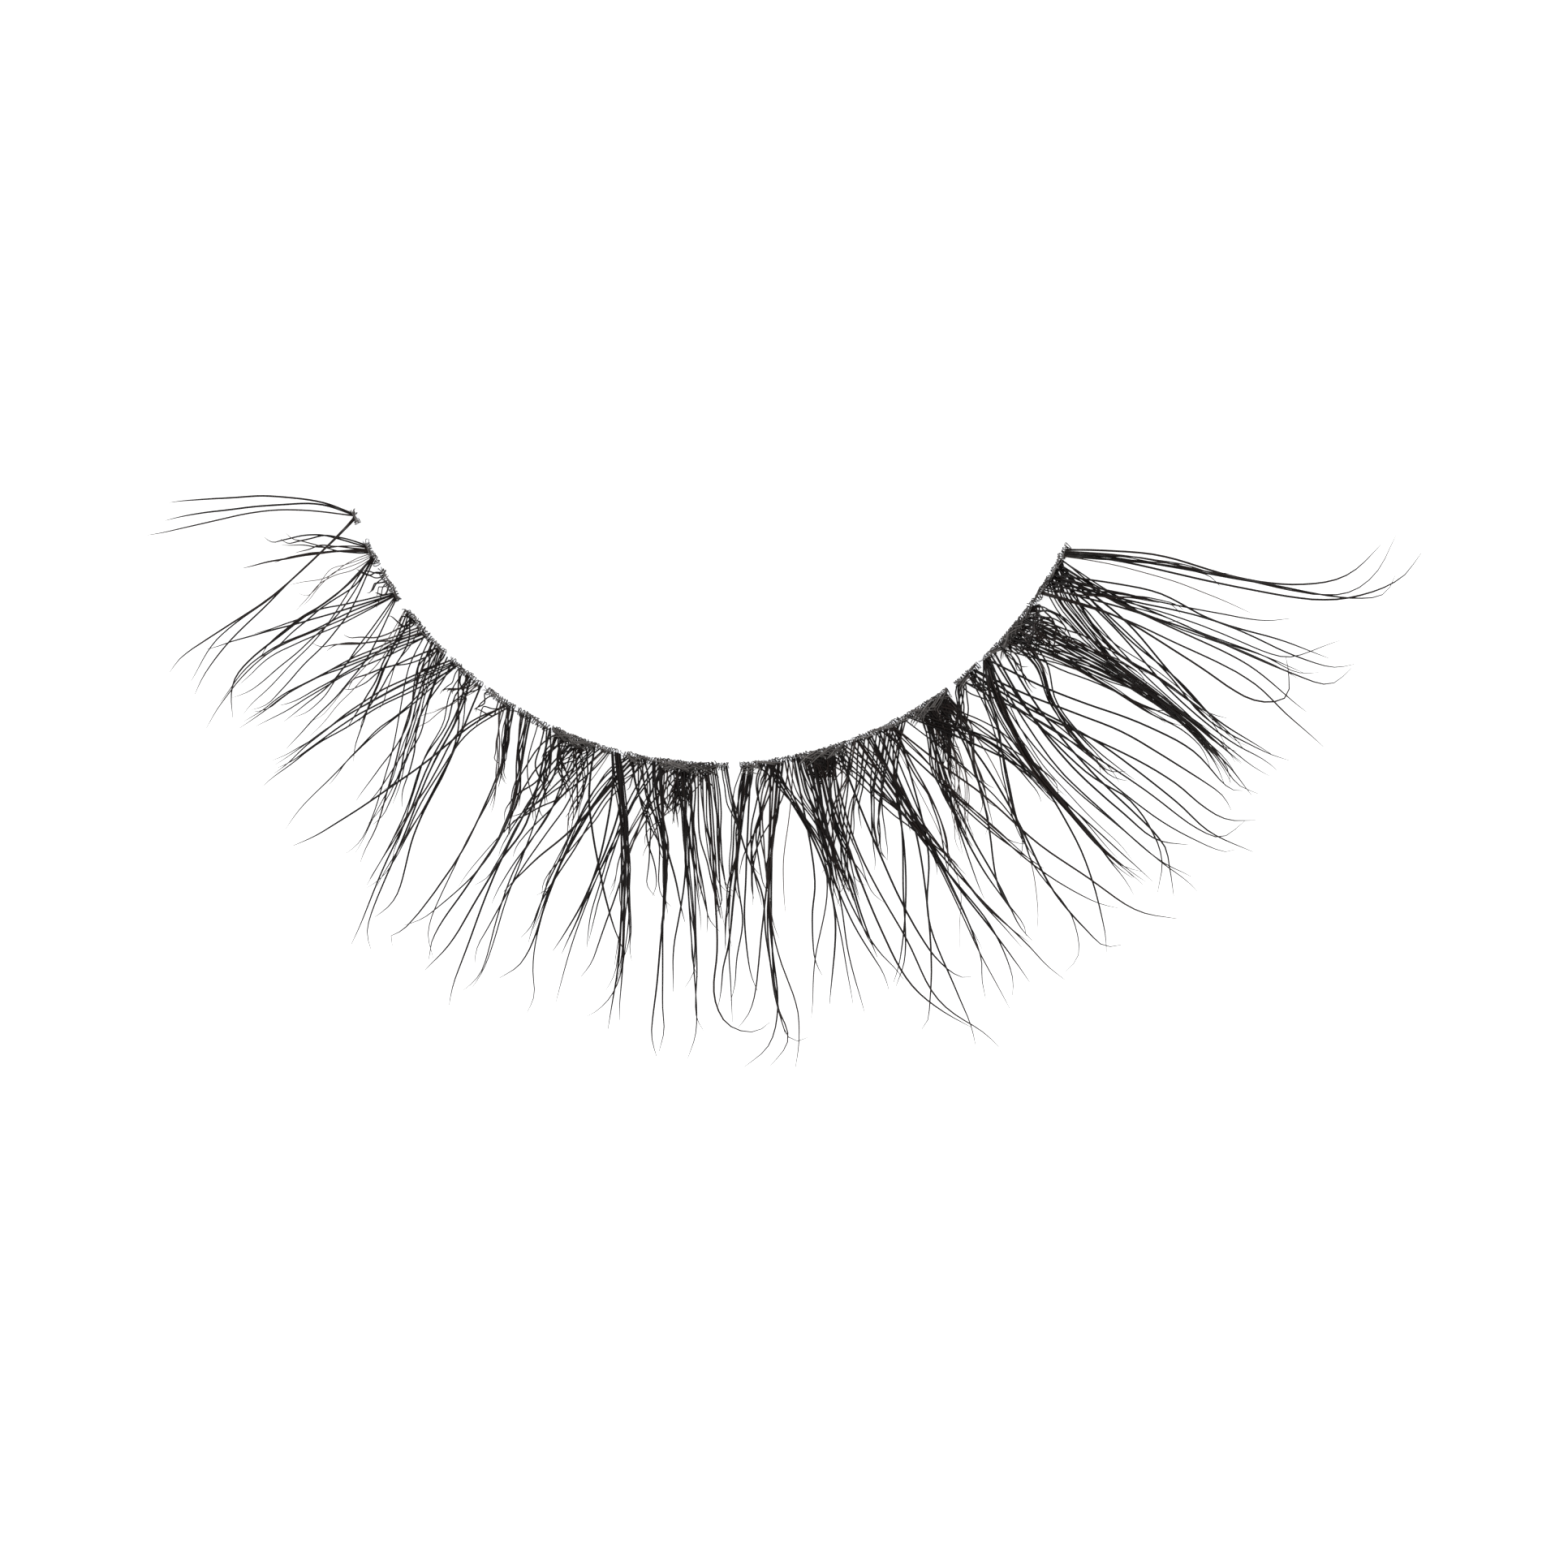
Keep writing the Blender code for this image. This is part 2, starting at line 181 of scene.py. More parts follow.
INNER_CORNER = (
    hair(0.1, (-2.2, 1.0), (-4.3, 3.0), (-5.7, 6.5)),
    hair(0.2, (-1.9, 1.0), (-3.0, 2.2), (-4.6, 6.8)),
    hair(0.3, (-2.0, 1.8), (-3.2, 3.8), (-3.6, 7.6)),
    hair(0.4, (1.7, 0.9), (4.3, 4.0), (5.4, 8.0), (6.0, 8.7)),
    hair(0.5, (1.7, 0.9), (4.3, 4.0), (5.5, 6.6), (7.2, 8.2)),
    hair(0.6, (1.8, 0.9), (4.4, 4.0), (6.2, 6.5), (8.0, 8.4)),
)

INNER_SIDE = (
    tuft(3.8, 4.8, (1.3, 1.7), (-0.3, 3.7), hairs=6),
    hair(4.6, (2.8, 1.4), (1.7, 3.1), (1.0, 4.6)),
    tuft(4.8, 5.4, (5.1, 1.6), (5.1, 3.3), (5.4, 4.5), hairs=4, tone=Tone.FAINT),
    tuft(5.2, 5.6, (8.7, 2.2), (10.6, 5.9), (11.6, 9.3), hairs=3),
    tuft(5.1, 5.3, (6.7, 1.1), (7.4, 3.4), (7.9, 5.8), (8.1, 8.1), hairs=2),
    hair(5.3, (6.9, 1.8), (7.3, 3.8), (7.9, 5.7), (8.6, 6.7), (9.6, 7.2), (11.0, 7.6)),
    tuft(7.2, 7.8, (7.3, 0.4), (6.9, 0.9), hairs=4, shortest=0.6),
    tuft(8.3, 9.0, (8.8, 0.4), (8.7, 1.0), hairs=4, shortest=0.6),
)

INNER = (
    tuft(9.8, 10.2, (7.4, 3.4), (5.2, 7.3), hairs=2),
    tuft(10.0, 10.3, (8.9, 3.4), (8.7, 5.5), (10.9, 8.9), hairs=3),
    tuft(10.2, 10.5, (13.0, 2.4), (13.9, 4.1), (14.2, 5.3), (14.7, 7.6), hairs=3),
    tuft(12.0, 12.2, (14.2, 1.8), (15.3, 4.4), (16.2, 5.9), hairs=2, tone=Tone.FAINT),
    tuft(12.3, 13.0, (14.9, 1.0), (17.2, 3.1), (18.8, 6.1), hairs=3),
    fan(12.8, 15.2, (15.4, 1.3, 0.30), (17.0, 2.8, 0.35), (18.4, 4.8, 0.35), hairs=2, shortest=0.45),
    tuft(13.0, 14.0, (13.2, 0.4), (12.6, 1.0), hairs=4, shortest=0.6),
    fan(13.6, 15.6, (13.3, 1.2, 0.20), (11.8, 2.3, 0.22), (10.3, 3.8, 0.18), hairs=3, tone=Tone.BROWN),
    fan(14.8, 16.2, (14.6, 0.9, 0.12), (13.6, 2.1, 0.10), (12.9, 3.2, 0.13), (12.3, 4.8, 0.15), (12.1, 6.4, 0.12),
        (12.2, 9.0, 0.30), hairs=3, shortest=0.6),
    tuft(15.2, 16.0, (14.2, 1.4), (13.4, 3.0), (12.6, 5.0), (11.3, 7.4), hairs=2),
    tuft(17.6, 18.0, (16.0, 1.7), (13.9, 3.8), (13.1, 5.5), hairs=2),
    fan(16.8, 18.8, (18.5, 0.9, 0.25), (19.2, 1.8, 0.20), hairs=6, shortest=0.6),
    fan(15.4, 18.4, (18.4, 1.1, 0.35), (20.0, 2.3, 0.38), (22.0, 4.4, 0.42), (23.0, 6.5, 0.42), (23.7, 8.5, 0.40),
        hairs=6, shortest=0.5),
    fan(17.6, 20.2, (20.4, 1.6, 0.25), (21.8, 2.8, 0.25), (23.1, 4.1, 0.25), (24.0, 5.3, 0.22), (24.8, 7.0, 0.28),
        hairs=4, shortest=0.6),
    fan(19.6, 20.3, (18.6, 1.1, 0.08), (17.2, 2.6, 0.10), (16.4, 4.4, 0.07), (16.0, 6.2, 0.08), (15.8, 8.7, 0.25),
        hairs=3, shortest=0.85),
    fan(20.0, 20.8, (19.0, 1.6, 0.10), (17.9, 2.9, 0.10), (17.0, 4.4, 0.07), (16.3, 6.4, 0.08), (15.9, 8.7, 0.25),
        hairs=2, shortest=0.85),
    tuft(20.4, 20.6, (19.6, 2.0), (19.0, 5.3), (19.7, 7.8), (20.0, 8.8), hairs=2),
    fan(20.4, 22.4, (23.3, 0.9, 0.12), (24.8, 1.7, 0.10), (25.8, 3.0, 0.10), (26.6, 5.0, 0.12), (27.0, 7.0, 0.12),
        (27.3, 9.0, 0.30), hairs=2, shortest=0.8),
    fan(21.0, 24.0, (22.6, 0.9, 0.20), (23.8, 1.9, 0.15), (24.3, 3.3, 0.15), (25.2, 4.7, 0.10), (26.1, 6.8, 0.12),
        (26.7, 8.8, 0.25), hairs=3, shortest=0.8),
    fan(20.6, 24.0, (22.6, 0.7, 0.42), (22.8, 1.3, 0.38), hairs=6, shortest=0.65),
    fan(23.4, 24.2, (22.9, 1.2, 0.20), (21.8, 2.2, 0.25), (20.9, 2.9, 0.20), hairs=3, tone=Tone.FAINT),
    hair(22.0, (23.6, 1.2), (24.6, 3.6), (25.7, 5.4), (26.6, 8.0), (27.6, 10.7)),
    hair(22.6, (24.0, 1.3), (25.0, 3.6), (26.2, 5.8), (27.2, 8.6), (28.0, 10.0), (28.8, 10.5)),
    hair(24.0, (25.9, 3.0), (27.0, 6.0), (28.3, 8.2), (28.1, 9.4)),
)

MIDDLE = (
    tuft(24.7, 27.5, (25.4, 0.6), (24.6, 1.3), hairs=4),
    hair(27.5, (25.7, 1.4), (24.3, 3.4), (22.7, 5.9), (21.4, 8.0), (20.5, 9.1)),
    tuft(27.6, 28.0, (25.2, 1.8), (25.7, 4.8), (26.5, 6.5), (27.5, 9.0), hairs=2),
    fan(26.6, 27.8, (28.2, 1.0, 0.17), (29.8, 2.1, 0.14), (31.0, 3.2, 0.12), (31.6, 4.2, 0.10), hairs=4,
        tone=Tone.BROWN, shortest=0.5),
    fan(27.6, 28.6, (29.3, 1.1, 0.10), (30.5, 2.1, 0.09), (31.0, 3.1, 0.06), hairs=4, shortest=0.6),
    hair(27.5, (29.8, 1.3), (30.8, 5.3), (30.0, 9.2), (29.5, 9.7), (29.9, 9.9)),
    hair(27.8, (30.5, 2.3), (30.9, 5.7), (31.4, 8.8), (32.7, 9.7)),
    fan(29.2, 30.4, (31.0, 1.1, 0.10), (32.2, 2.1, 0.10), (33.0, 3.4, 0.14), (33.2, 5.0, 0.16), hairs=4),
    hair(30.0, (33.1, 3.4), (32.6, 6.1), (31.1, 8.1), (30.1, 9.2)),
    hair(30.5, (33.1, 3.8), (32.5, 6.7), (32.0, 9.0), (32.6, 9.7)),
    fan(31.4, 33.4, (33.8, 1.4, 0.30), (35.6, 2.4, 0.36), (36.6, 3.3, 0.36), hairs=4),
    hair(33.0, (34.7, 3.6), (33.9, 5.5), (33.2, 8.8), (32.5, 10.2)),
    hair(34.0, (34.3, 2.4), (34.0, 5.5), (34.4, 9.1), (34.7, 11.0)),
    fan(33.8, 36.4, (33.4, 1.2, 0.30), (32.7, 2.4, 0.28), (32.8, 4.0, 0.28), (32.5, 5.7, 0.30), hairs=3),
    fan(36.8, 38.5, (35.7, 1.4, 0.25), (34.2, 3.0, 0.32), (33.1, 4.9, 0.36), (32.5, 7.0, 0.44), hairs=3),
    fan(38.8, 40.2, (38.0, 1.0, 0.20), (36.4, 2.2, 0.30), (34.8, 3.7, 0.36), (33.6, 5.2, 0.30), hairs=3),
    fan(33.8, 35.4, (35.2, 1.0, 0.28), (36.7, 1.9, 0.30), (37.3, 2.8, 0.36), hairs=6, shortest=0.5),
    fan(33.6, 34.6, (34.8, 1.5, 0.22), (35.0, 2.9, 0.20), (35.5, 4.6, 0.22), hairs=2, shortest=0.7),
    fan(37.0, 38.4, (36.5, 0.8, 0.32), (35.9, 1.5, 0.28), hairs=7, shortest=0.65),
    fan(34.2, 37.4, (34.9, 0.8, 0.40), (34.5, 1.4, 0.34), hairs=6, shortest=0.6),
    fan(36.0, 37.2, (37.6, 0.9, 0.20), (38.4, 1.9, 0.26), (38.6, 3.6, 0.20), hairs=4),
    tuft(36.0, 38.0, (36.3, 2.7), (35.6, 5.7), (35.3, 9.2), (35.0, 10.9), hairs=4),
    fan(39.4, 40.2, (38.6, 1.2, 0.20), (38.2, 2.8, 0.25), (39.2, 5.2, 0.15), hairs=3, tone=Tone.FAINT),
    fan(41.8, 44.4, (40.9, 1.1, 0.28), (39.6, 2.2, 0.30), (38.7, 4.0, 0.27), (38.1, 6.0, 0.15), (38.0, 7.9, 0.08),
        hairs=6, shortest=0.75),
    hair(42.6, (40.0, 2.2), (38.7, 5.0), (38.2, 8.5), (37.2, 9.4)),
    hair(43.0, (39.0, 3.0), (36.9, 4.6), (35.1, 6.3)),
    hair(42.0, (38.9, 3.8), (38.7, 7.5), (39.1, 8.6), (39.8, 9.6), (39.7, 10.3)),
    hair(38.3, (38.9, 1.2), (39.9, 2.5), (43.6, 5.9), (45.2, 7.3)),
    hair(40.3, (41.4, 1.4), (41.7, 4.7), (40.8, 7.8)),
    hair(41.0, (42.5, 2.0), (41.6, 5.0), (40.2, 7.8)),
    fan(40.2, 41.2, (41.7, 0.9, 0.12), (43.0, 2.2, 0.11), (44.1, 4.2, 0.16), (44.9, 6.6, 0.20), (45.0, 8.8, 0.17),
        hairs=7, shortest=0.85),
    hair(41.0, (43.2, 2.5), (44.6, 5.6), (45.2, 8.1), (44.8, 9.0), (44.1, 9.6), (43.5, 9.9)),
    hair(41.2, (43.4, 2.6), (44.7, 5.8), (45.3, 8.2), (45.6, 9.8)),
    hair(40.8, (43.0, 2.6), (44.4, 5.6), (45.0, 8.2), (45.0, 10.2)),
    fan(47.0, 49.4, (46.2, 1.1, 0.20), (44.8, 2.0, 0.17), (43.8, 3.3, 0.14), (44.0, 4.8, 0.16), (44.8, 6.5, 0.20),
        hairs=4, tone=Tone.BROWN, shortest=0.7),
    fan(44.6, 46.4, (43.6, 1.6, 0.12), (42.9, 3.3, 0.20), (42.2, 5.4, 0.28), (41.7, 8.0, 0.36), hairs=3,
        shortest=0.85),
    fan(42.4, 44.2, (44.4, 1.2, 0.25), (46.0, 2.2, 0.22), (47.3, 3.4, 0.14), (47.8, 5.0, 0.08), hairs=4),
    fan(42.2, 44.4, (43.0, 0.7, 0.30), (42.6, 1.3, 0.25), hairs=2, shortest=0.6),
    tuft(42.5, 44.0, (44.8, 1.6), (46.2, 3.8), (46.8, 5.6), hairs=3, shortest=0.9),
    hair(45.0, (45.9, 1.4), (47.6, 3.3), (49.6, 5.9)),
    fan(44.6, 46.2, (46.2, 1.6, 0.18), (47.3, 3.2, 0.14), (47.9, 5.2, 0.10), (48.0, 6.6, 0.14), hairs=4,
        shortest=0.75),
    hair(45.6, (47.0, 2.6), (47.8, 5.0), (47.8, 7.5), (47.8, 10.1), (48.0, 11.0)),
    hair(45.8, (47.2, 3.0), (47.8, 5.9), (48.4, 9.1), (48.6, 10.0), (48.3, 10.8)),
    hair(44.0, (43.8, 1.6), (42.4, 3.6), (41.7, 5.6), (41.2, 9.6)),
    hair(46.0, (44.3, 3.4), (43.8, 5.0), (42.9, 8.5)),
    fan(46.4, 49.8, (47.6, 0.8, 0.45), (48.2, 1.9, 0.34), hairs=20, shortest=0.7),
    fan(47.4, 49.4, (48.0, 1.2, 0.22), (48.2, 2.4, 0.16), hairs=6, shortest=0.7),
    fan(49.4, 51.8, (50.4, 0.5, 0.34), (50.3, 1.0, 0.25), hairs=7, shortest=0.65),
    fan(47.0, 49.0, (48.8, 1.0, 0.22), (49.1, 2.4, 0.12), (49.5, 4.2, 0.10), (50.4, 6.5, 0.13), (50.7, 8.8, 0.07),
        hairs=4, shortest=0.8),
    fan(47.2, 49.6, (49.0, 1.0, 0.22), (49.7, 2.5, 0.12), (50.6, 4.5, 0.11), (51.3, 6.3, 0.13), hairs=5,
        shortest=0.75),
    hair(48.0, (49.7, 4.9), (50.4, 7.8), (50.7, 9.9), (50.4, 11.0)),
    hair(49.0, (50.1, 4.2), (50.6, 7.5), (50.7, 9.4), (51.2, 9.9)),
    hair(48.4, (49.3, 4.3), (48.8, 6.9), (48.9, 7.8), (49.2, 8.5)),
    fan(50.3, 51.4, (49.1, 1.1, 0.15), (47.3, 1.9, 0.20), (45.6, 2.9, 0.17), (44.8, 3.8, 0.14), hairs=2,
        tone=Tone.GREY, shortest=0.8),
    fan(49.8, 51.0, (50.8, 1.2, 0.16), (51.4, 3.2, 0.19), (52.2, 6.4, 0.22), hairs=5, shortest=0.7),
    hair(51.0, (51.5, 2.5), (52.1, 6.8), (51.9, 8.6), (52.5, 9.5), (53.4, 9.9), (54.7, 10.0), (55.6, 9.7)),
    fan(51.2, 52.0, (52.1, 1.2, 0.10), (52.3, 3.0, 0.08), (52.4, 4.6, 0.15), (52.7, 6.3, 0.20), hairs=4,
        shortest=0.7),
    fan(52.4, 53.2, (53.2, 1.0, 0.08), (53.8, 1.9, 0.07), (54.2, 3.0, 0.12), hairs=3),
    hair(53.0, (53.9, 1.9), (54.7, 3.3), (55.8, 4.9), (55.8, 6.4), (56.0, 7.8), (56.1, 8.9), (56.5, 10.2)),
)

OUTER_MIDDLE = (
    fan(54.8, 56.2, (54.7, 1.0, 0.22), (54.1, 2.0, 0.19), (53.8, 3.0, 0.16), (53.4, 4.0, 0.15), (53.1, 5.2, 0.10),
        (52.9, 7.0, 0.08), hairs=6, shortest=0.7),
    hair(55.2, (54.0, 3.0), (52.9, 6.8), (52.5, 7.6), (52.2, 9.0)),
    hair(55.6, (54.1, 3.1), (52.9, 6.9), (53.0, 8.1), (53.1, 9.6)),
    hair(55.0, (53.8, 4.1), (54.1, 5.9), (53.5, 7.3), (53.4, 8.8)),
    hair(55.8, (54.4, 4.7), (54.3, 6.2), (54.6, 8.5)),
    fan(56.6, 60.2, (57.0, 1.3, 0.45), (55.9, 2.6, 0.36), (55.3, 4.2, 0.36), (55.3, 5.6, 0.30), hairs=7,
        shortest=0.7),
    fan(57.4, 59.0, (56.6, 1.6, 0.14), (56.3, 3.2, 0.12), (56.2, 5.0, 0.09), (56.2, 6.8, 0.15), hairs=2,
        tone=Tone.BROWN, shortest=0.75),
    hair(58.0, (56.4, 4.2), (55.4, 6.4), (54.7, 8.6), (54.2, 9.3), (53.4, 9.8)),
    hair(58.4, (56.3, 5.1), (56.5, 7.0), (57.5, 9.2), (57.4, 10.2), (57.0, 11.5)),
    hair(59.0, (56.1, 5.5), (56.0, 8.0), (56.2, 9.1), (56.7, 10.3), (55.7, 11.4)),
    hair(59.4, (56.3, 5.1), (56.2, 9.1), (55.4, 10.5), (53.8, 11.3)),
    hair(58.8, (56.6, 4.6), (56.2, 9.1), (56.7, 10.3), (57.4, 10.5), (57.9, 10.4)),
    hair(60.5, (59.5, 1.5), (57.8, 4.0), (57.6, 5.7), tone=Tone.FAINT),
    fan(56.6, 58.6, (57.6, 0.7, 0.24), (57.9, 1.2, 0.20), hairs=5, shortest=0.6),
    fan(57.0, 58.8, (58.5, 1.0, 0.18), (60.0, 2.1, 0.19), (61.2, 3.2, 0.22), (61.8, 4.6, 0.20), (62.1, 5.9, 0.16),
        hairs=2, shortest=0.75),
    hair(57.6, (60.8, 3.2), (61.4, 5.8), (59.7, 9.3)),
    hair(57.9, (61.3, 3.6), (61.5, 6.4), (61.2, 9.5)),
    hair(58.1, (61.9, 4.9), (61.7, 7.6), (61.9, 9.9)),
    hair(60.6, (60.3, 4.7), (59.6, 5.9), (59.2, 7.1), (59.2, 8.2)),
    hair(61.2, (61.2, 4.9), (59.2, 7.6), (58.4, 9.7)),
    fan(59.4, 61.4, (60.6, 1.4, 0.20), (61.6, 2.7, 0.22), (62.4, 4.2, 0.24), (62.9, 5.9, 0.18), hairs=5,
        shortest=0.85),
    fan(61.2, 62.8, (62.2, 1.4, 0.22), (62.1, 2.6, 0.24), (62.0, 4.0, 0.13), (61.8, 5.6, 0.10), hairs=8,
        shortest=0.75),
    fan(62.8, 65.0, (63.6, 0.6, 0.35), (63.8, 1.2, 0.28), hairs=20, shortest=0.65),
    fan(61.6, 64.4, (62.8, 0.6, 0.35), (63.2, 1.3, 0.25), hairs=12, shortest=0.7),
    fan(64.0, 66.4, (65.2, 0.7, 0.30), (64.9, 1.5, 0.24), hairs=9, shortest=0.7),
    fan(63.0, 65.2, (63.6, 1.2, 0.18), (63.2, 2.6, 0.20), (63.8, 4.2, 0.20), (64.1, 6.2, 0.20), hairs=7,
        shortest=0.75),
    fan(66.0, 68.0, (65.0, 1.2, 0.22), (63.4, 2.2, 0.20), (62.1, 3.6, 0.12), (61.6, 4.6, 0.10), hairs=4,
        tone=Tone.BROWN, shortest=0.8),
    fan(67.0, 69.2, (66.3, 1.3, 0.22), (64.8, 2.3, 0.20), (63.3, 3.8, 0.16), (62.6, 5.6, 0.13), hairs=3,
        shortest=0.85),
    fan(68.6, 69.4, (67.2, 1.3, 0.13), (65.6, 2.4, 0.10), (64.1, 4.1, 0.08), hairs=2, shortest=0.75),
    hair(63.0, (64.0, 4.9), (64.5, 7.2), (65.4, 9.5), (67.9, 11.6)),
    hair(64.5, (64.5, 3.8), (65.9, 7.5), (66.8, 10.3), (69.4, 12.5)),
    hair(65.5, (66.2, 4.6), (67.3, 8.3), (68.6, 9.7), (69.2, 9.9)),
    hair(61.0, (62.1, 5.5), (62.8, 7.1), (64.2, 9.2)),
    hair(62.0, (62.4, 3.0), (63.0, 5.2), (63.4, 7.6)),
    hair(63.4, (63.2, 3.0), (63.2, 5.6), (63.6, 8.0)),
    hair(62.5, (62.5, 5.3), (64.0, 7.9), (65.2, 9.0)),
    hair(69.5, (69.6, 2.4), (66.8, 6.2), (65.4, 8.4), (64.3, 9.2)),
    fan(69.8, 71.4, (68.8, 1.1, 0.13), (67.2, 2.3, 0.12), (66.0, 3.8, 0.10), (65.5, 5.3, 0.13), hairs=3,
        shortest=0.8),
    fan(71.4, 72.4, (69.8, 1.1, 0.10), (68.2, 2.2, 0.13), (66.9, 3.7, 0.12), (66.4, 4.9, 0.16), hairs=3,
        shortest=0.85),
    fan(73.0, 74.0, (71.0, 1.0, 0.13), (69.7, 2.2, 0.16), (69.8, 3.4, 0.10), (70.3, 4.3, 0.08), hairs=3),
    hair(73.4, (69.6, 2.3), (68.4, 4.3), (66.5, 6.8), (64.4, 9.1)),
    fan(63.8, 66.0, (66.9, 1.2, 0.20), (68.0, 2.2, 0.20), (69.4, 3.4, 0.14), (70.4, 4.8, 0.11), (70.6, 6.2, 0.13),
        hairs=5, shortest=0.85),
    fan(66.0, 68.2, (69.1, 1.1, 0.16), (70.0, 2.4, 0.18), (70.2, 4.0, 0.10), (71.2, 5.6, 0.14), (71.9, 6.8, 0.10),
        hairs=2, shortest=0.85),
    hair(67.8, (70.2, 4.1), (71.9, 6.9), (73.6, 9.6), (74.0, 10.7), (74.5, 11.5)),
    fan(68.8, 70.4, (70.1, 2.8, 0.12), (70.4, 5.2, 0.06), (70.5, 7.0, 0.09), (70.4, 9.2, 0.11), hairs=2,
        shortest=0.85),
    fan(67.8, 69.2, (70.2, 3.2, 0.10), (71.4, 5.8, 0.06), (72.2, 7.7, 0.06), (73.6, 10.3, 0.10), hairs=2,
        shortest=0.85),
    hair(71.2, (70.6, 5.0), (70.4, 9.3), (69.9, 10.1), (69.8, 10.8)),
    hair(68.0, (70.3, 5.0), (70.4, 9.3), (70.6, 11.5)),
    hair(67.2, (70.7, 5.9), (71.9, 8.5), (71.7, 10.5), (71.2, 11.1)),
    hair(69.2, (70.7, 5.7), (71.9, 8.7), (72.3, 10.3), (72.2, 10.9)),
    hair(70.5, (70.0, 3.4), (68.3, 6.8), (66.4, 9.8), (65.6, 10.7), (65.0, 10.9)),
    hair(72.6, (70.1, 4.8), (68.1, 7.1), (68.0, 10.0), (68.2, 12.2)),
    hair(71.5, (71.2, 6.5), (70.0, 7.8), (69.1, 8.8), tone=Tone.FAINT),
    fan(75.6, 77.4, (75.2, 1.4, 0.20), (74.1, 2.4, 0.16), (73.6, 3.5, 0.13), (73.6, 4.8, 0.13),
        (73.3, 6.2, 0.14), hairs=5, shortest=0.75),
    fan(77.0, 79.0, (76.5, 1.3, 0.32), (75.8, 2.4, 0.34), (75.5, 3.4, 0.30), hairs=14, shortest=0.6),
    fan(75.2, 79.0, (76.9, 0.8, 0.50), (77.0, 2.1, 0.38), hairs=22, shortest=0.65),
    fan(78.2, 79.0, (78.6, 1.6, 0.13), (77.4, 2.7, 0.12), (76.4, 4.0, 0.11), (75.4, 5.4, 0.10), hairs=6,
        tone=Tone.BROWN, shortest=0.7),
    fan(76.4, 78.0, (75.6, 2.8, 0.25), (73.8, 4.2, 0.28), (72.6, 6.0, 0.25), hairs=9, tone=Tone.FAINT,
        shortest=0.7),
    fan(74.0, 77.5, (78.4, 1.3, 0.28), (79.8, 2.4, 0.28), (80.8, 3.6, 0.24), (81.2, 5.0, 0.24),
        (81.3, 6.6, 0.24), hairs=8, shortest=0.75),
    fan(70.4, 72.6, (72.6, 1.0, 0.12), (73.8, 2.4, 0.13), (74.8, 4.0, 0.12), (76.0, 5.9, 0.07), (77.2, 8.0, 0.12),
        hairs=3, shortest=0.8),
    fan(71.6, 72.4, (72.0, 1.8, 0.08), (72.2, 3.0, 0.09), (71.8, 4.6, 0.07), (70.8, 6.2, 0.07), hairs=3,
        shortest=0.8),
    hair(71.0, (73.5, 2.6), (75.4, 5.1), (77.1, 7.6), (79.0, 9.8), (79.6, 10.4)),
    hair(72.0, (74.6, 2.2), (76.5, 4.1), (78.1, 6.9), (79.5, 8.9), (80.7, 10.9), (82.3, 12.0)),
    hair(76.2, (74.2, 2.8), (73.0, 5.0), (72.4, 7.4)),
    hair(75.9, (73.6, 3.6), (73.2, 5.8), (73.8, 8.4)),
    hair(76.0, (74.6, 2.4), (73.9, 4.7), (73.8, 6.8), (73.6, 9.6)),
    hair(78.2, (77.2, 2.8), (75.5, 5.0), (73.7, 7.3), (73.9, 8.9), (73.6, 9.3)),
    hair(73.5, (76.4, 2.8), (77.4, 5.5), (76.7, 7.3), (77.1, 9.6), (76.0, 11.0), (74.8, 11.3)),
    hair(77.5, (78.0, 3.0), (77.5, 6.0), (76.9, 8.5), (77.3, 10.3), (77.7, 11.2), (78.6, 11.5)),
    hair(78.9, (78.6, 3.4), (76.5, 7.4), (74.7, 9.5), tone=Tone.FAINT),
    hair(74.0, (78.6, 2.4), (81.0, 4.6), (80.6, 6.7), (79.5, 8.9), (78.2, 10.8), (77.5, 11.4)),
    fan(77.0, 77.6, (76.8, 1.0, 0.05), (76.4, 2.2, 0.08), hairs=2, tone=Tone.GREY),
    fan(67.2, 67.8, (66.0, 0.9, 0.06), (64.2, 2.0, 0.10), hairs=2, tone=Tone.GREY),
)

OUTER_SIDE = (
    fan(80.6, 81.8, (79.8, 0.6, 0.16), (78.6, 1.4, 0.18), (77.6, 2.2, 0.16), hairs=7),
    fan(82.0, 83.2, (81.6, 1.6, 0.10), (79.9, 3.1, 0.09), (77.9, 5.0, 0.07), (76.4, 7.4, 0.06), hairs=3,
        shortest=0.7),
    fan(80.8, 83.2, (82.0, 0.6, 0.25), (82.8, 1.4, 0.22), hairs=5, shortest=0.65),
    fan(80.9, 83.3, (83.2, 1.1, 0.20), (84.6, 2.6, 0.17), (85.4, 4.2, 0.11), (85.7, 5.8, 0.16), (86.2, 6.9, 0.20),
        hairs=2, shortest=0.85),
    hair(83.0, (85.2, 2.0), (87.1, 3.8), (88.7, 5.8), (89.5, 8.0), (89.8, 10.0), (89.4, 10.6)),
    hair(82.5, (84.5, 2.5), (87.0, 5.6), (88.3, 8.3), (88.4, 9.7), (88.8, 10.7), (89.9, 11.5)),
    hair(83.0, (84.6, 2.2), (86.8, 5.5), (87.4, 8.7), (87.4, 10.5), (88.3, 12.2)),
    hair(82.0, (84.0, 2.6), (85.7, 5.5), (86.5, 7.8), (87.1, 10.2), (87.7, 11.0), (89.3, 11.4)),
    hair(82.6, (83.8, 2.6), (84.8, 5.2), (85.3, 7.5), (86.1, 9.7), (87.2, 11.5), (87.7, 11.7)),
)

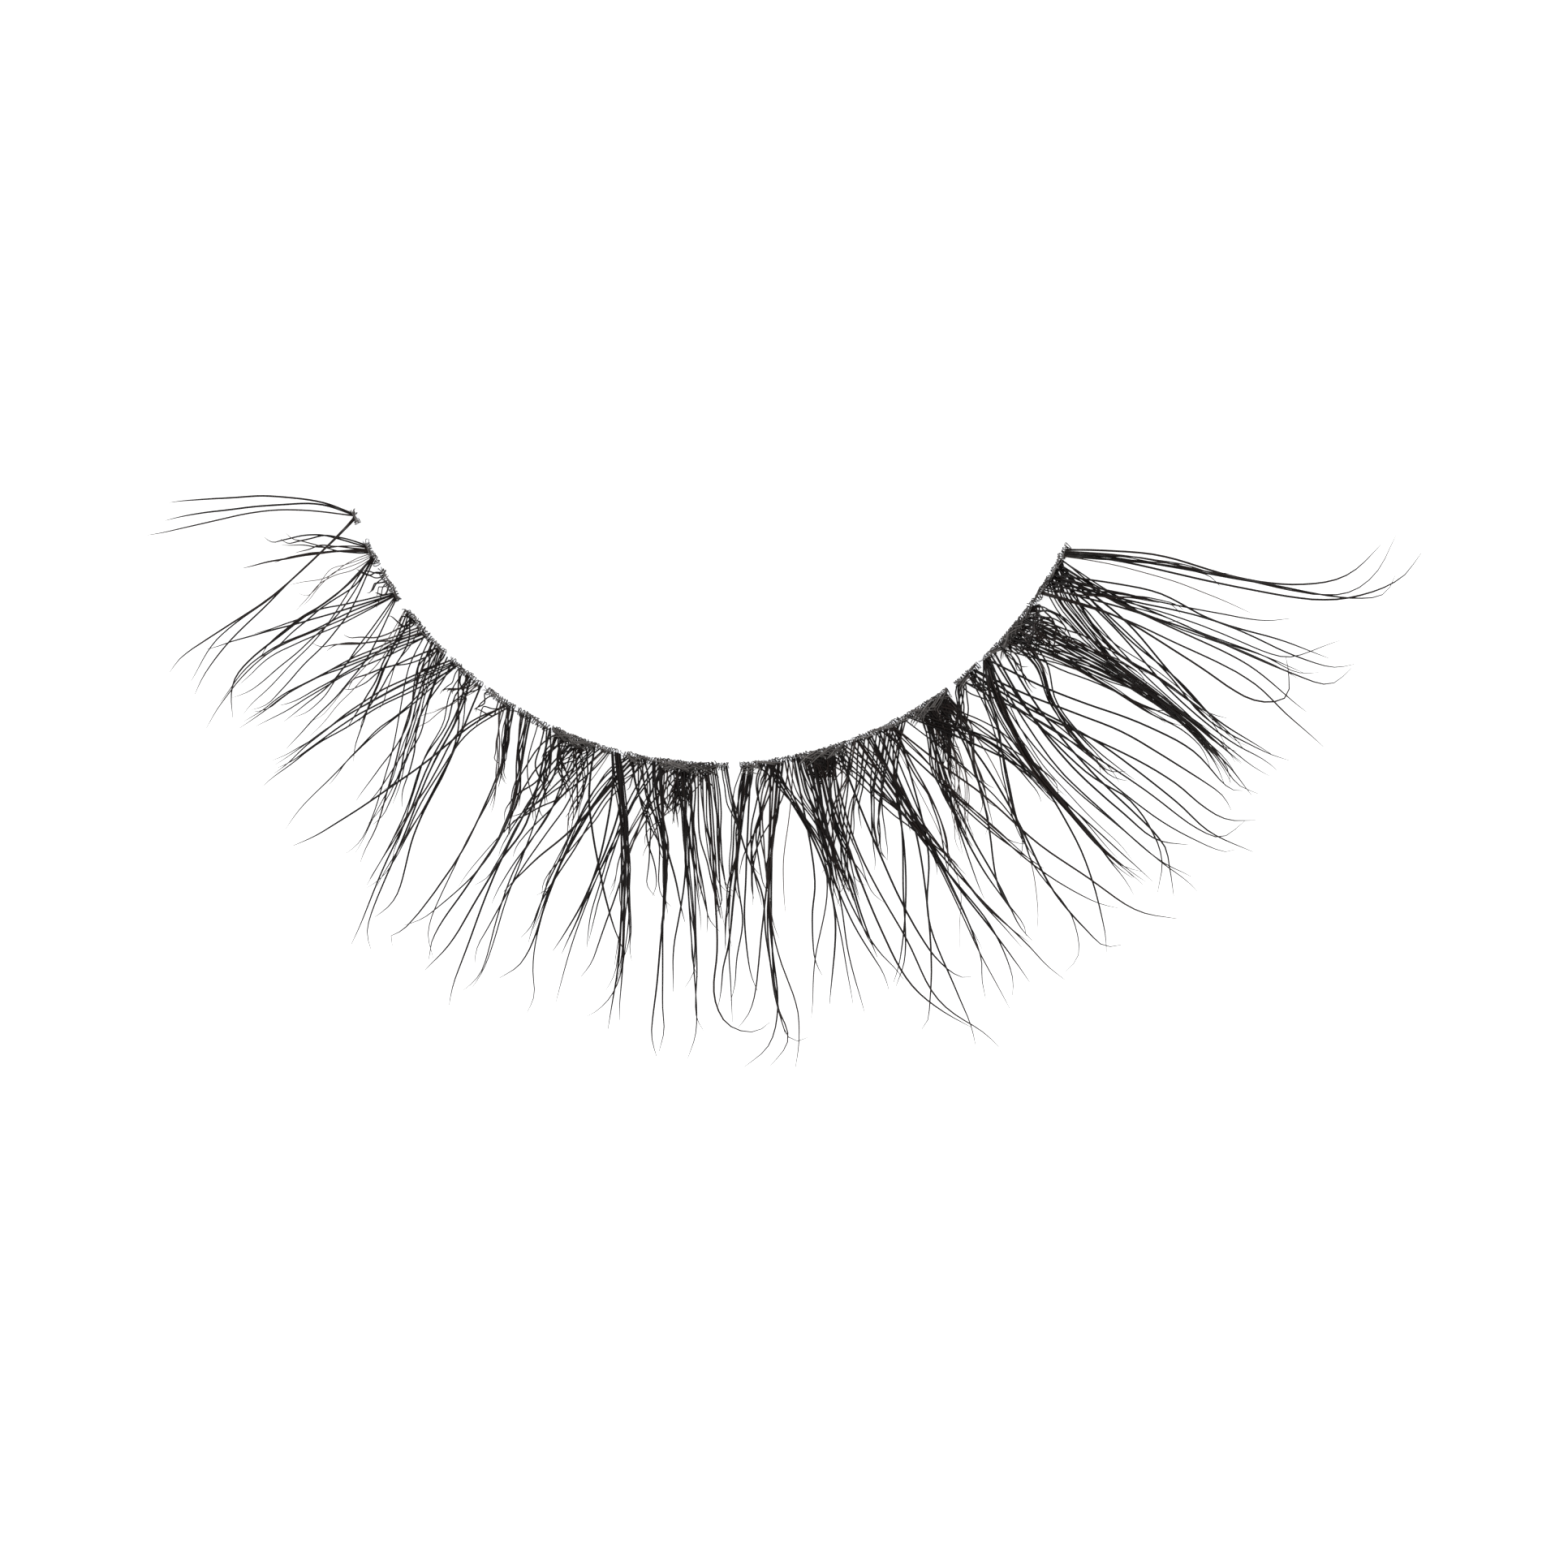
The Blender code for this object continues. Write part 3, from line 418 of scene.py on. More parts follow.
OUTER_CORNER = (
    fan(84.4, 85.4, (83.4, 1.1, 0.16), (82.4, 2.3, 0.20), (81.7, 3.6, 0.18), (81.4, 5.0, 0.13), (81.6, 6.4, 0.10),
        hairs=3, shortest=0.85),
    fan(84.4, 85.3, (82.5, 1.6, 0.15), (81.4, 4.0, 0.13), (81.3, 6.2, 0.09), (81.4, 8.4, 0.09), (81.8, 10.4, 0.18),
        hairs=7, shortest=0.9),
    tuft(84.4, 85.4, (82.6, 1.4), (81.4, 3.8), (81.5, 6.0), (81.9, 8.4), (82.4, 10.9), hairs=3),
    hair(84.8, (86.8, 2.2), (88.4, 3.9), (90.0, 5.8), (90.9, 8.0), (90.4, 10.1), (90.7, 10.5)),
    hair(85.5, (84.2, 2.6), (84.3, 5.8), (85.3, 7.7), (84.2, 9.9), (82.4, 10.8)),
    hair(85.0, (83.6, 2.2), (82.8, 5.2), (83.3, 7.7), (84.0, 10.2), (84.9, 11.1)),
    hair(86.0, (84.6, 1.9), (83.8, 4.2), (84.2, 7.8), (84.6, 9.3), (85.9, 10.3)),
    hair(84.8, (82.9, 2.0), (82.6, 5.2), (83.6, 9.0), (84.0, 10.5), (84.6, 11.7)),
    hair(87.0, (85.2, 2.6), (84.6, 6.0), (84.8, 9.6), (84.0, 10.4), (83.0, 11.3)),
    fan(88.0, 90.0, (88.2, 1.6, 0.17), (86.5, 2.7, 0.17), (85.8, 4.2, 0.16), (85.8, 5.6, 0.16), (86.1, 7.2, 0.22),
        hairs=7),
    tuft(87.0, 88.0, (86.4, 1.3), (86.4, 2.4), hairs=4),
    fan(86.4, 89.0, (89.5, 1.4, 0.20), (91.0, 2.9, 0.20), (92.0, 4.6, 0.15), (92.5, 6.2, 0.15), hairs=4),
    fan(87.4, 89.6, (90.2, 2.2, 0.14), (90.8, 3.8, 0.14), (91.2, 5.8, 0.20), (91.7, 7.4, 0.25), (91.6, 9.2, 0.30),
        hairs=4, shortest=0.7),
    fan(87.6, 92.6, (90.8, 0.8, 0.70), (89.4, 2.0, 0.55), hairs=24, shortest=0.6),
    fan(88.0, 91.8, (90.8, 1.2, 0.40), (92.0, 2.6, 0.35), (92.8, 4.2, 0.28), (92.8, 6.2, 0.20), hairs=5,
        shortest=0.75),
    fan(87.0, 91.5, (90.2, 0.9, 0.40), (91.0, 2.3, 0.40), (91.8, 3.8, 0.34), (92.2, 5.4, 0.28), (92.3, 7.2, 0.16),
        (92.0, 8.8, 0.20), (91.4, 10.4, 0.32), hairs=8, shortest=0.85),
    fan(91.6, 92.4, (93.2, 0.6, 0.10), (93.3, 1.6, 0.14), (92.7, 2.8, 0.16), hairs=2, shortest=0.8),
    fan(95.4, 98.4, (95.0, 0.8, 0.22), (94.2, 1.7, 0.26), (93.4, 2.9, 0.26), (92.9, 4.2, 0.25), (92.7, 6.0, 0.24),
        (92.3, 8.2, 0.20), (91.9, 9.9, 0.30), hairs=9, shortest=0.8),
    fan(96.6, 98.8, (95.6, 1.1, 0.13), (94.2, 2.3, 0.12), (93.6, 3.6, 0.13), (93.7, 5.4, 0.15), (93.3, 7.6, 0.18),
        (92.4, 9.6, 0.30), hairs=4, shortest=0.85),
    fan(95.2, 98.8, (96.4, 0.6, 0.40), (96.2, 1.1, 0.32), hairs=6, shortest=0.6),
    hair(97.0, (96.5, 1.6), (94.5, 5.6), (93.3, 7.8), (93.7, 10.3), (94.1, 11.2)),
    hair(97.5, (96.4, 3.2), (94.6, 5.9), (93.7, 8.0), (93.8, 10.5)),
    hair(98.2, (96.3, 1.9), (95.2, 3.8), (94.6, 5.9), (93.6, 8.0), (93.4, 9.6)),
    hair(96.5, (95.8, 2.2), (93.4, 6.5), (93.0, 9.1), (93.4, 11.0)),
    hair(91.0, (92.5, 4.3), (92.6, 7.0), (92.4, 9.8), (92.3, 10.9)),
    hair(90.6, (92.0, 3.4), (92.3, 6.6), (91.6, 9.4), (90.9, 10.8)),
    hair(90.2, (91.6, 3.0), (92.1, 6.4), (91.2, 9.0), (90.3, 9.8)),
    hair(89.4, (91.4, 3.2), (92.0, 6.6), (91.7, 8.8), (91.0, 10.2), (91.5, 10.9)),
    hair(90.8, (92.2, 4.0), (92.3, 7.4), (91.3, 9.6), (90.6, 10.0)),
    fan(94.6, 96.6, (96.6, 1.0, 0.16), (97.4, 1.9, 0.13), (98.4, 2.9, 0.10), (99.4, 4.0, 0.10), (100.0, 5.2, 0.10),
        hairs=4, shortest=0.75),
    fan(97.2, 99.0, (97.8, 1.2, 0.10), (97.7, 2.2, 0.12), (97.7, 3.2, 0.15), (98.2, 4.6, 0.16), (98.6, 6.2, 0.14),
        hairs=3, shortest=0.8),
    fan(97.4, 98.8, (97.8, 1.6, 0.10), (97.7, 2.8, 0.12), (98.5, 5.5, 0.12), (98.9, 7.8, 0.13), (99.1, 9.5, 0.08),
        (99.3, 11.2, 0.16), hairs=3, shortest=0.85),
    hair(96.6, (99.1, 2.4), (100.0, 4.0), (99.9, 6.2), (100.7, 8.8), (101.0, 10.6)),
    hair(96.2, (98.4, 2.6), (99.9, 5.0), (101.6, 7.9), (102.4, 8.7)),
    hair(95.8, (98.0, 2.7), (99.9, 6.1), (100.1, 9.3), (100.5, 10.9), (101.1, 11.6)),
    hair(95.4, (97.8, 2.7), (99.1, 5.8), (99.6, 8.7), (100.1, 9.4), (102.3, 10.7)),
    hair(95.0, (97.2, 2.8), (98.5, 5.9), (99.0, 9.6), (99.5, 11.1), (100.9, 11.6)),
    hair(94.2, (96.4, 3.0), (96.9, 5.4), (97.2, 8.5), (96.5, 10.2), (96.0, 12.0)),
    hair(94.4, (96.4, 3.0), (96.3, 6.3), (96.2, 9.0), (97.5, 9.9), (99.2, 9.4), (99.8, 9.1)),
    hair(96.8, (97.7, 3.9), (98.1, 7.9), (97.3, 10.8)),
    fan(99.0, 99.5, (100.7, 1.3, 0.07), (101.7, 2.4, 0.09), (102.8, 4.0, 0.09), (103.5, 6.0, 0.08), hairs=4,
        shortest=0.5),
    hair(99.8, (101.4, 1.3), (103.0, 3.2), (103.6, 5.8), (104.6, 8.4), (106.1, 10.0), (108.7, 11.1)),
    hair(99.6, (102.0, 2.4), (103.5, 5.9), (105.0, 10.1), (106.9, 11.1), (109.6, 11.5)),
    hair(99.2, (101.1, 2.0), (102.9, 6.2), (104.6, 9.9), (107.0, 12.0), (108.8, 12.6)),
    hair(99.4, (101.5, 2.2), (103.9, 7.2), (105.0, 10.5), (105.9, 11.7), (107.1, 12.0)),
    hair(99.0, (100.7, 2.1), (101.4, 4.0), (101.6, 5.6), (101.6, 7.4), tone=Tone.FAINT),
    fan(89.8, 90.4, (88.8, 1.2, 0.05), (88.0, 2.4, 0.10), hairs=2, tone=Tone.GREY),
)


KNOT_SPANS = {
    "inner_corner_tuft": ((0.0, 0.8),),
    "inner_side_tuft": ((3.6, 5.8), (7.1, 9.2)),
    "inner_fringe": ((9.8, 10.5), (12.3, 16.6), (17.4, 18.2), (19.8, 23.6)),
    "middle_fringe": ((24.8, 28.0), (28.9, 32.4), (33.6, 40.4), (41.6, 52.9)),
    "outer_middle_fringe": ((54.8, 59.0), (59.6, 78.9)),
    "outer_side_tuft": ((80.6, 83.4),),
    "outer_corner_fringe": ((84.4, 100.0),),
}

MAT_SPANS = {
    "middle_fringe": ((33.6, 38.0), (42.4, 43.6), (45.9, 51.8)),
    "outer_middle_fringe": ((55.0, 56.4), (61.4, 66.0), (74.4, 78.9)),
    "outer_side_tuft": ((80.8, 82.0),),
    "outer_corner_fringe": ((86.0, 91.8),),
}

# From the inner corner to the outer: the run's solid, its level and its lashes
RUNS = (
    ("inner_corner_tuft", 2, INNER_CORNER),
    ("inner_side_tuft", 1, INNER_SIDE),
    ("inner_fringe", 0, INNER),
    ("middle_fringe", 1, MIDDLE),
    ("outer_middle_fringe", 0, OUTER_MIDDLE),
    ("outer_side_tuft", 1, OUTER_SIDE),
    ("outer_corner_fringe", 2, OUTER_CORNER),
)


class Nodes:
    """Adds and joins the nodes of one tree, so that a formula reads as a line."""

    def __init__(self, tree: bpy.types.NodeTree) -> None:
        """Keeps the tree."""
        self.tree = tree

    def put(self, socket: bpy.types.NodeSocket, value: Any) -> None:
        """Joins a socket to another, or gives it a constant.

        Args:
            socket: the input to fill.
            value: an output socket, or the constant.
        """
        if isinstance(value, bpy.types.NodeSocket):
            self.tree.links.new(value, socket)
        else:
            socket.default_value = value

    def add(self, kind: str, inputs: dict[int | str, Any] | None = None, **settings: Any) -> bpy.types.Node:
        """Adds one node.

        Args:
            kind: the node's type.
            inputs: values or sockets for its inputs, by number or name.
            settings: its properties, set before its inputs.

        Returns:
            The new node.
        """
        node = self.tree.nodes.new(kind)
        for key, value in settings.items():
            setattr(node, key, value)
        for key, value in (inputs or {}).items():
            self.put(node.inputs[key], value)
        return node

    def maths(self, operation: str, first: Any, second: Any = 0.0, third: Any = 0.0) -> bpy.types.NodeSocket:
        """Returns the result of one Math node."""
        node = self.add("ShaderNodeMath", {0: first, 1: second, 2: third}, operation=operation)
        return node.outputs[0]

    def scaled(self, direction: Any, length: Any) -> bpy.types.NodeSocket:
        """Returns a direction times a length."""
        node = self.add("ShaderNodeVectorMath", {0: direction, "Scale": length}, operation="SCALE")
        return node.outputs[0]

    def total(self, first: Any, second: Any) -> bpy.types.NodeSocket:
        """Returns the sum of two vectors."""
        node = self.add("ShaderNodeVectorMath", {0: first, 1: second}, operation="ADD")
        return node.outputs[0]

    def soft_step(self, value: Any, low: float, high: float) -> bpy.types.NodeSocket:
        """Returns 0 below low and 1 above high, with a smooth rise between them."""
        inputs = {0: value, 1: low, 2: high, 3: 0.0, 4: 1.0}
        node = self.add("ShaderNodeMapRange", inputs, interpolation_type="SMOOTHSTEP")
        return node.outputs[0]


class GeometryTree(Nodes):
    """A Geometry Nodes tree with named inputs."""

    def __init__(self, name: str) -> None:
        """Starts the tree with a geometry input and output."""
        super().__init__(bpy.data.node_groups.new(name, "GeometryNodeTree"))
        self.identifiers: dict[str, str] = {}
        self.tree.interface.new_socket("Geometry", in_out="INPUT", socket_type="NodeSocketGeometry")
        self.tree.interface.new_socket("Geometry", in_out="OUTPUT", socket_type="NodeSocketGeometry")
        self.entry = self.tree.nodes.new("NodeGroupInput")
        self.exit = self.tree.nodes.new("NodeGroupOutput")

    def size(self, name: str, kind: str) -> bpy.types.NodeSocket:
        """Adds a named input.

        Args:
            name: the input's name.
            kind: Float, Int or Material.

        Returns:
            The socket that carries it inside the tree.
        """
        socket = self.tree.interface.new_socket(name, in_out="INPUT", socket_type=f"NodeSocket{kind}")
        self.identifiers[name] = socket.identifier
        return self.entry.outputs[name]

    def attribute(self, name: str, kind: str = "FLOAT") -> bpy.types.NodeSocket:
        """Returns a named attribute's value."""
        return self.add("GeometryNodeInputNamedAttribute", {0: name}, data_type=kind).outputs[0]

    def store(self, geometry: Any, name: str, value: Any, domain: str, kind: str = "FLOAT") -> Any:
        """Stores a value under a name, and returns the geometry that carries it."""
        inputs = {0: geometry, 2: name, 3: value}
        node = self.add("GeometryNodeStoreNamedAttribute", inputs, domain=domain, data_type=kind)
        return node.outputs[0]

    def chance(self, low: float, high: float, number: Any, seed: Any) -> bpy.types.NodeSocket:
        """Returns a random value that is the same for the same number and seed."""
        node = self.add("FunctionNodeRandomValue", {2: low, 3: high, 7: number, 8: seed}, data_type="FLOAT")
        return node.outputs[1]

    def sweep(self, curves: Any, diameter: Any, sides: Any, scale: Any) -> bpy.types.NodeSocket:
        """Sweeps a round section along curves.

        Args:
            curves: the curves.
            diameter: the section's diameter.
            sides: its number of sides.
            scale: its size at each point of a curve.

        Returns:
            The mesh, closed at its ends.
        """
        inputs = {0: sides, 4: self.maths("MULTIPLY", diameter, 0.5)}
        profile = self.add("GeometryNodeCurvePrimitiveCircle", inputs, mode="RADIUS")
        inputs = {0: curves, 1: profile.outputs[0], 2: scale, 3: True}
        return self.add("GeometryNodeCurveToMesh", inputs).outputs[0]

    def deliver(self, geometry: Any, finish: Any) -> None:
        """Gives the geometry its finish and hands it out of the tree."""
        smooth = self.add("GeometryNodeSetShadeSmooth", {0: geometry})
        dressed = self.add("GeometryNodeSetMaterial", {0: smooth.outputs[0], 2: finish})
        self.put(self.exit.inputs[0], dressed.outputs[0])

    def grow(self, name: str, guides: bpy.types.Mesh, sizes: dict[str, Any]) -> bpy.types.Object:
        """Runs the tree on a mesh of guides and keeps the result as a plain mesh.

        Args:
            name: name of the new piece.
            guides: the mesh that the tree starts from.
            sizes: a value for each named input.

        Returns:
            The finished object, at the origin.
        """
        starter = linked(name + "_guides", guides)
        modifier = starter.modifiers.new("Growth", "NODES")
        modifier.node_group = self.tree
        for label, value in sizes.items():
            modifier[self.identifiers[label]] = value
        evaluated = starter.evaluated_get(bpy.context.evaluated_depsgraph_get())
        mesh = bpy.data.meshes.new_from_object(evaluated)
        mesh.name = name
        bpy.data.objects.remove(starter)
        bpy.data.meshes.remove(guides)
        return linked(name, mesh)


def blank_material(name: str) -> tuple[bpy.types.Material, Nodes, bpy.types.Node]:
    """Returns a new material, with its nodes and its shader."""
    material = bpy.data.materials.new(name)
    material.use_nodes = True
    return material, Nodes(material.node_tree), material.node_tree.nodes["Principled BSDF"]


@dataclass(frozen=True)
class Grain:
    """Fine unevenness of a surface, in its roughness and in its height.

    Args:
        scale: how fine the noise is.
        detail: its octaves.
        roughness: the roughness in its hollows and on its crests.
        strength: strength of its bumps.
        depth: height of the bumps.
    """

    scale: float
    detail: float
    roughness: Span
    strength: float
    depth: float = 0.01 * MM

    def lay(self, nodes: Nodes, shader: bpy.types.Node) -> bpy.types.NodeSocket:
        """Gives a shader the grain.

        Args:
            nodes: the material's nodes.
            shader: its shader.

        Returns:
            How high the grain stands at each point, from 0 to 1.
        """
        place = nodes.add("ShaderNodeTexCoord").outputs["Object"]
        inputs = {"Vector": place, "Scale": self.scale, "Detail": self.detail}
        grain = nodes.add("ShaderNodeTexNoise", inputs).outputs["Fac"]
        low, high = self.roughness
        polish = nodes.add("ShaderNodeMapRange", {0: grain, 3: low, 4: high})
        nodes.put(shader.inputs["Roughness"], polish.outputs[0])
        inputs = {"Strength": self.strength, "Distance": self.depth, "Height": grain}
        nodes.put(shader.inputs["Normal"], nodes.add("ShaderNodeBump", inputs).outputs[0])
        return grain


@dataclass(frozen=True)
class FibreFinish:
    """Satin synthetic fibre: near black, browner and lighter where a fibre is thin, and painted browner or paler
    where a fibre catches the light (painted highlight).

    Args:
        name: the material's name.
        dark: its usual colour.
        brown: its colour where it is warmest, which also serves as painted highlight.
        pale: the colour of its lightest tone, which is painted highlight on brown and grey fibres.
        gloss: how much it shines.
        grain: its unevenness.
        fibre_warmth: how brown the warmest fibre is, partly from its own tint and partly from painted highlight.
        tip_warmth: how much browner tips are.
        grain_warmth: how much browner the grain's crests are.
        rarity: how few fibres are warm, and how near to the tip they turn so.
    """

    name: str
    dark: Colour
    brown: Colour
    pale: Colour
    gloss: float
    grain: Grain
    fibre_warmth: float = 0.8
    tip_warmth: float = 0.35
    grain_warmth: float = 0.25
    rarity: float = 3.0

    def material(self) -> bpy.types.Material:
        """Returns the material, whose colour varies from fibre to fibre and towards the tips; part of the
        variation from fibre to fibre is painted highlight.
        """
        material, nodes, shader = blank_material(self.name)
        grain = self.grain.lay(nodes, shader)
        tint_and_sheen = nodes.add("ShaderNodeAttribute", attribute_name="tint_and_sheen").outputs["Fac"]
        along = nodes.add("ShaderNodeAttribute", attribute_name="along").outputs["Fac"]
        tone = nodes.add("ShaderNodeAttribute", attribute_name="tone").outputs["Fac"]
        # A few fibres, picked at random, turn brown: partly their own tint, partly painted highlight for fibres
        # that glint
        tint_and_sheen_warmth = nodes.maths("MULTIPLY", nodes.maths("POWER", tint_and_sheen, self.rarity), self.fibre_warmth)
        worn = nodes.maths("MULTIPLY", nodes.maths("POWER", along, self.rarity), self.tip_warmth)
        drift = nodes.maths("MULTIPLY", grain, self.grain_warmth)
        warmth = nodes.maths("ADD", nodes.maths("ADD", tint_and_sheen_warmth, worn), drift)
        warmth.node.use_clamp = True
        first = nodes.add("ShaderNodeMix", {0: warmth, 6: self.dark, 7: self.brown}, data_type="RGBA")
        # Lighter tones mix towards pale: painted highlight on brown and grey bundles, and the paleness of thin
        # faint fibres
        second = nodes.add("ShaderNodeMix", {0: tone, 6: first.outputs[2], 7: self.pale}, data_type="RGBA")
        nodes.put(shader.inputs["Base Color"], second.outputs[2])
        shader.inputs["Specular IOR Level"].default_value = self.gloss
        return material


@dataclass(frozen=True)
class ClearFinish:
    """Clear nylon with a soft gloss, which all but disappears on a pale ground."""

    name: str = "clear_nylon_line"
    tint: Colour = (0.97, 0.98, 1.0, 1.0)
    refraction: float = 1.12
    ripple: Grain = Grain(scale=1500.0, detail=2.0, roughness=(0.07, 0.20), strength=0.1)

    def material(self) -> bpy.types.Material:
        """Returns the material, with a faint ripple as drawn line has."""
        material, nodes, shader = blank_material(self.name)
        shader.inputs["Base Color"].default_value = self.tint
        shader.inputs["Transmission Weight"].default_value = 1.0
        shader.inputs["IOR"].default_value = self.refraction
        self.ripple.lay(nodes, shader)
        return material


@dataclass(frozen=True)
class PaperFinish:
    """Plain white card under the strip, matt and lit a little from behind, as on a light table."""

    name: str = "white_card"
    colour: Colour = (0.93, 0.93, 0.93, 1.0)
    roughness: float = 0.9
    gloss: float = 0.1
    glow: float = 0.75

    def material(self) -> bpy.types.Material:
        """Returns the material."""
        material, _, shader = blank_material(self.name)
        shader.inputs["Base Color"].default_value = self.colour
        shader.inputs["Roughness"].default_value = self.roughness
        shader.inputs["Specular IOR Level"].default_value = self.gloss
        shader.inputs["Emission Color"].default_value = WHITE
        shader.inputs["Emission Strength"].default_value = self.glow
        return material


# In both finishes, brown and pale serve partly as painted highlight: fibres that glint are drawn browner or paler
LASH_FINISH = FibreFinish(
    name="satin_fibre",
    dark=(0.004, 0.003, 0.003, 1.0),
    brown=(0.030, 0.019, 0.016, 1.0),
    pale=(0.16, 0.13, 0.12, 1.0),
    gloss=0.22,
    grain=Grain(scale=9000.0, detail=3.0, roughness=(0.34, 0.52), strength=0.25),
)
KNOT_FINISH = FibreFinish(
    name="knotted_fibre",
    dark=(0.012, 0.010, 0.010, 1.0),
    brown=(0.08, 0.07, 0.066, 1.0),
    pale=(0.26, 0.24, 0.23, 1.0),
    gloss=0.25,
    grain=Grain(scale=9000.0, detail=3.0, roughness=(0.42, 0.60), strength=0.25),
)


@dataclass(frozen=True)
class BandArc:
    """The arc of the band's middle line, found from the band's own box."""

    centre: Vector
    length: float = 34.0 * MM
    sweep: float = math.radians(133.6)
    start: float = math.radians(200.4)
    width: float = 0.25 * MM
    height: float = 0.20 * MM

    @classmethod
    def from_box(cls, box: Box) -> BandArc:
        """Finds the arc's centre from the lowest corner of the band's box.

        Args:
            box: the band's lowest and highest corners.

        Returns:
            The arc.
        """
        low = box[0]
        outer = cls.length / cls.sweep + cls.width / 2
        return cls(Vector((low.x - outer * math.cos(cls.start), low.y + outer, 0.0)))

    @property
    def radius(self) -> float:
        """Returns the radius of the middle line."""
        return self.length / self.sweep

    def outward(self, percent: float) -> Vector:
        """Returns the direction away from the arc's centre at a place on the band."""
        angle = self.start + self.sweep * percent * PERCENT
        return Vector((math.cos(angle), math.sin(angle), 0.0))

    def onward(self, percent: float) -> Vector:
        """Returns the direction along the band, towards the outer corner."""
        away = self.outward(percent)
        return Vector((-away.y, away.x, 0.0))

    def point(self, percent: float, reach: float, height: float = 0.0) -> Vector:
        """Returns a point by its place along the band, its reach outside it and its height."""
        return self.centre + self.outward(percent) * (self.radius + reach) + Vector((0.0, 0.0, height))

    def reach(self, point: Vector) -> float:
        """Returns how far a point lies outside the middle line, seen from above."""
        return math.hypot(point.x - self.centre.x, point.y - self.centre.y) - self.radius


@dataclass(frozen=True)
class Curl:
    """How high a lash lies: flat on its belly first, then rising to its tip."""

    longest: float = 12.5 * MM
    tip_rise: float = 4.5 * MM
    belly_reach: float = 3.0 * MM
    knot_edge: float = 0.245 * MM
    settle: float = 0.50 * MM
    knot_height: float = 0.20 * MM

    def height(self, reach: float, belly: float) -> float:
        """Returns the height of a lash.

        Args:
            reach: how far outside the band's middle line, in metres.
            belly: height of its flat stretch.

        Returns:
            The height, in metres.
        """
        low = mix(self.knot_height, belly, eased((reach - self.knot_edge) / self.settle))
        bent = max(0.0, (reach - self.belly_reach) / (self.longest - self.belly_reach))
        return low + self.tip_rise * bent * bent


def smooth_path(points: Sequence[Vector], steps: int) -> list[Vector]:
    """Returns points on a smooth curve through the given ones, evenly timed by their distances.

    Args:
        points: two or more points to pass.
        steps: number of steps between neighbours.

    Returns:
        The points on the curve, both ends among them.
    """
    if len(points) == 2:
        return [points[0].lerp(points[1], step / steps) for step in range(steps + 1)]
    before = points[0] * 2.0 - points[1]
    after = points[-1] * 2.0 - points[-2]
    chain = [before, *points, after]
    times = [0.0]
    for here, there in zip(chain, chain[1:]):
        times.append(times[-1] + max((there - here).length, 1e-9) ** 0.5)
    curve = [points[0].copy()]
    for index in range(1, len(chain) - 2):
        p0, p1, p2, p3 = chain[index - 1:index + 3]
        t0, t1, t2, t3 = times[index - 1:index + 3]
        for step in range(1, steps + 1):
            t = mix(t1, t2, step / steps)
            a1 = p0 * ((t1 - t) / (t1 - t0)) + p1 * ((t - t0) / (t1 - t0))
            a2 = p1 * ((t2 - t) / (t2 - t1)) + p2 * ((t - t1) / (t2 - t1))
            a3 = p2 * ((t3 - t) / (t3 - t2)) + p3 * ((t - t2) / (t3 - t2))
            b1 = a1 * ((t2 - t) / (t2 - t0)) + a2 * ((t - t0) / (t2 - t0))
            b2 = a2 * ((t3 - t) / (t3 - t1)) + a3 * ((t - t1) / (t3 - t1))
            curve.append(b1 * ((t2 - t) / (t2 - t1)) + b2 * ((t - t1) / (t2 - t1)))
    return curve


class GuideMesh:
    """Gathers guide lines with what the tree must know at each of their points."""

    def __init__(self) -> None:
        """Starts empty."""
        self.points: list[Vector] = []
        self.edges: list[tuple[int, int]] = []
        self.across: list[Vector] = []
        self.numbers: dict[str, list[float]] = {
            name: [] for name in ("half_width", "shortest", "girth", "tone", "waver", "hook")
        }
        self.counts: dict[str, list[int]] = {"hairs": [], "guide": []}

    def add(self, line: Sequence[Vector], across: Sequence[Vector], widths: Sequence[float],
            constants: dict[str, float], hairs: int) -> None:
        """Adds one guide line.

        Args:
            line: its points.
            across: the direction in which its bundle spreads, at each point.
            widths: half of the bundle's width at each point.
            constants: the other numbers, the same all along it.
            hairs: number of fibres that follow it.
        """
        first = len(self.points)
        number = self.counts["guide"][-1] + 1 if self.counts["guide"] else 0
        for index, point in enumerate(line):
            self.points.append(point)
            self.across.append(across[index])
            self.numbers["half_width"].append(widths[index])
            for name, value in constants.items():
                self.numbers[name].append(value)
            self.counts["hairs"].append(hairs)
            self.counts["guide"].append(number)
            if index:
                self.edges.append((first + index - 1, first + index))

    def mesh(self, name: str) -> bpy.types.Mesh:
        """Returns the guides as a mesh of edges with attributes."""
        mesh = bpy.data.meshes.new(name)
        mesh.from_pydata([tuple(point) for point in self.points], self.edges, [])
        for label, values in self.numbers.items():
            mesh.attributes.new(label, "FLOAT", "POINT").data.foreach_set("value", values)
        for label, values in self.counts.items():
            mesh.attributes.new(label, "INT", "POINT").data.foreach_set("value", values)
        flat = [part for direction in self.across for part in direction]
        mesh.attributes.new("across", "FLOAT_VECTOR", "POINT").data.foreach_set("vector", flat)
        return mesh


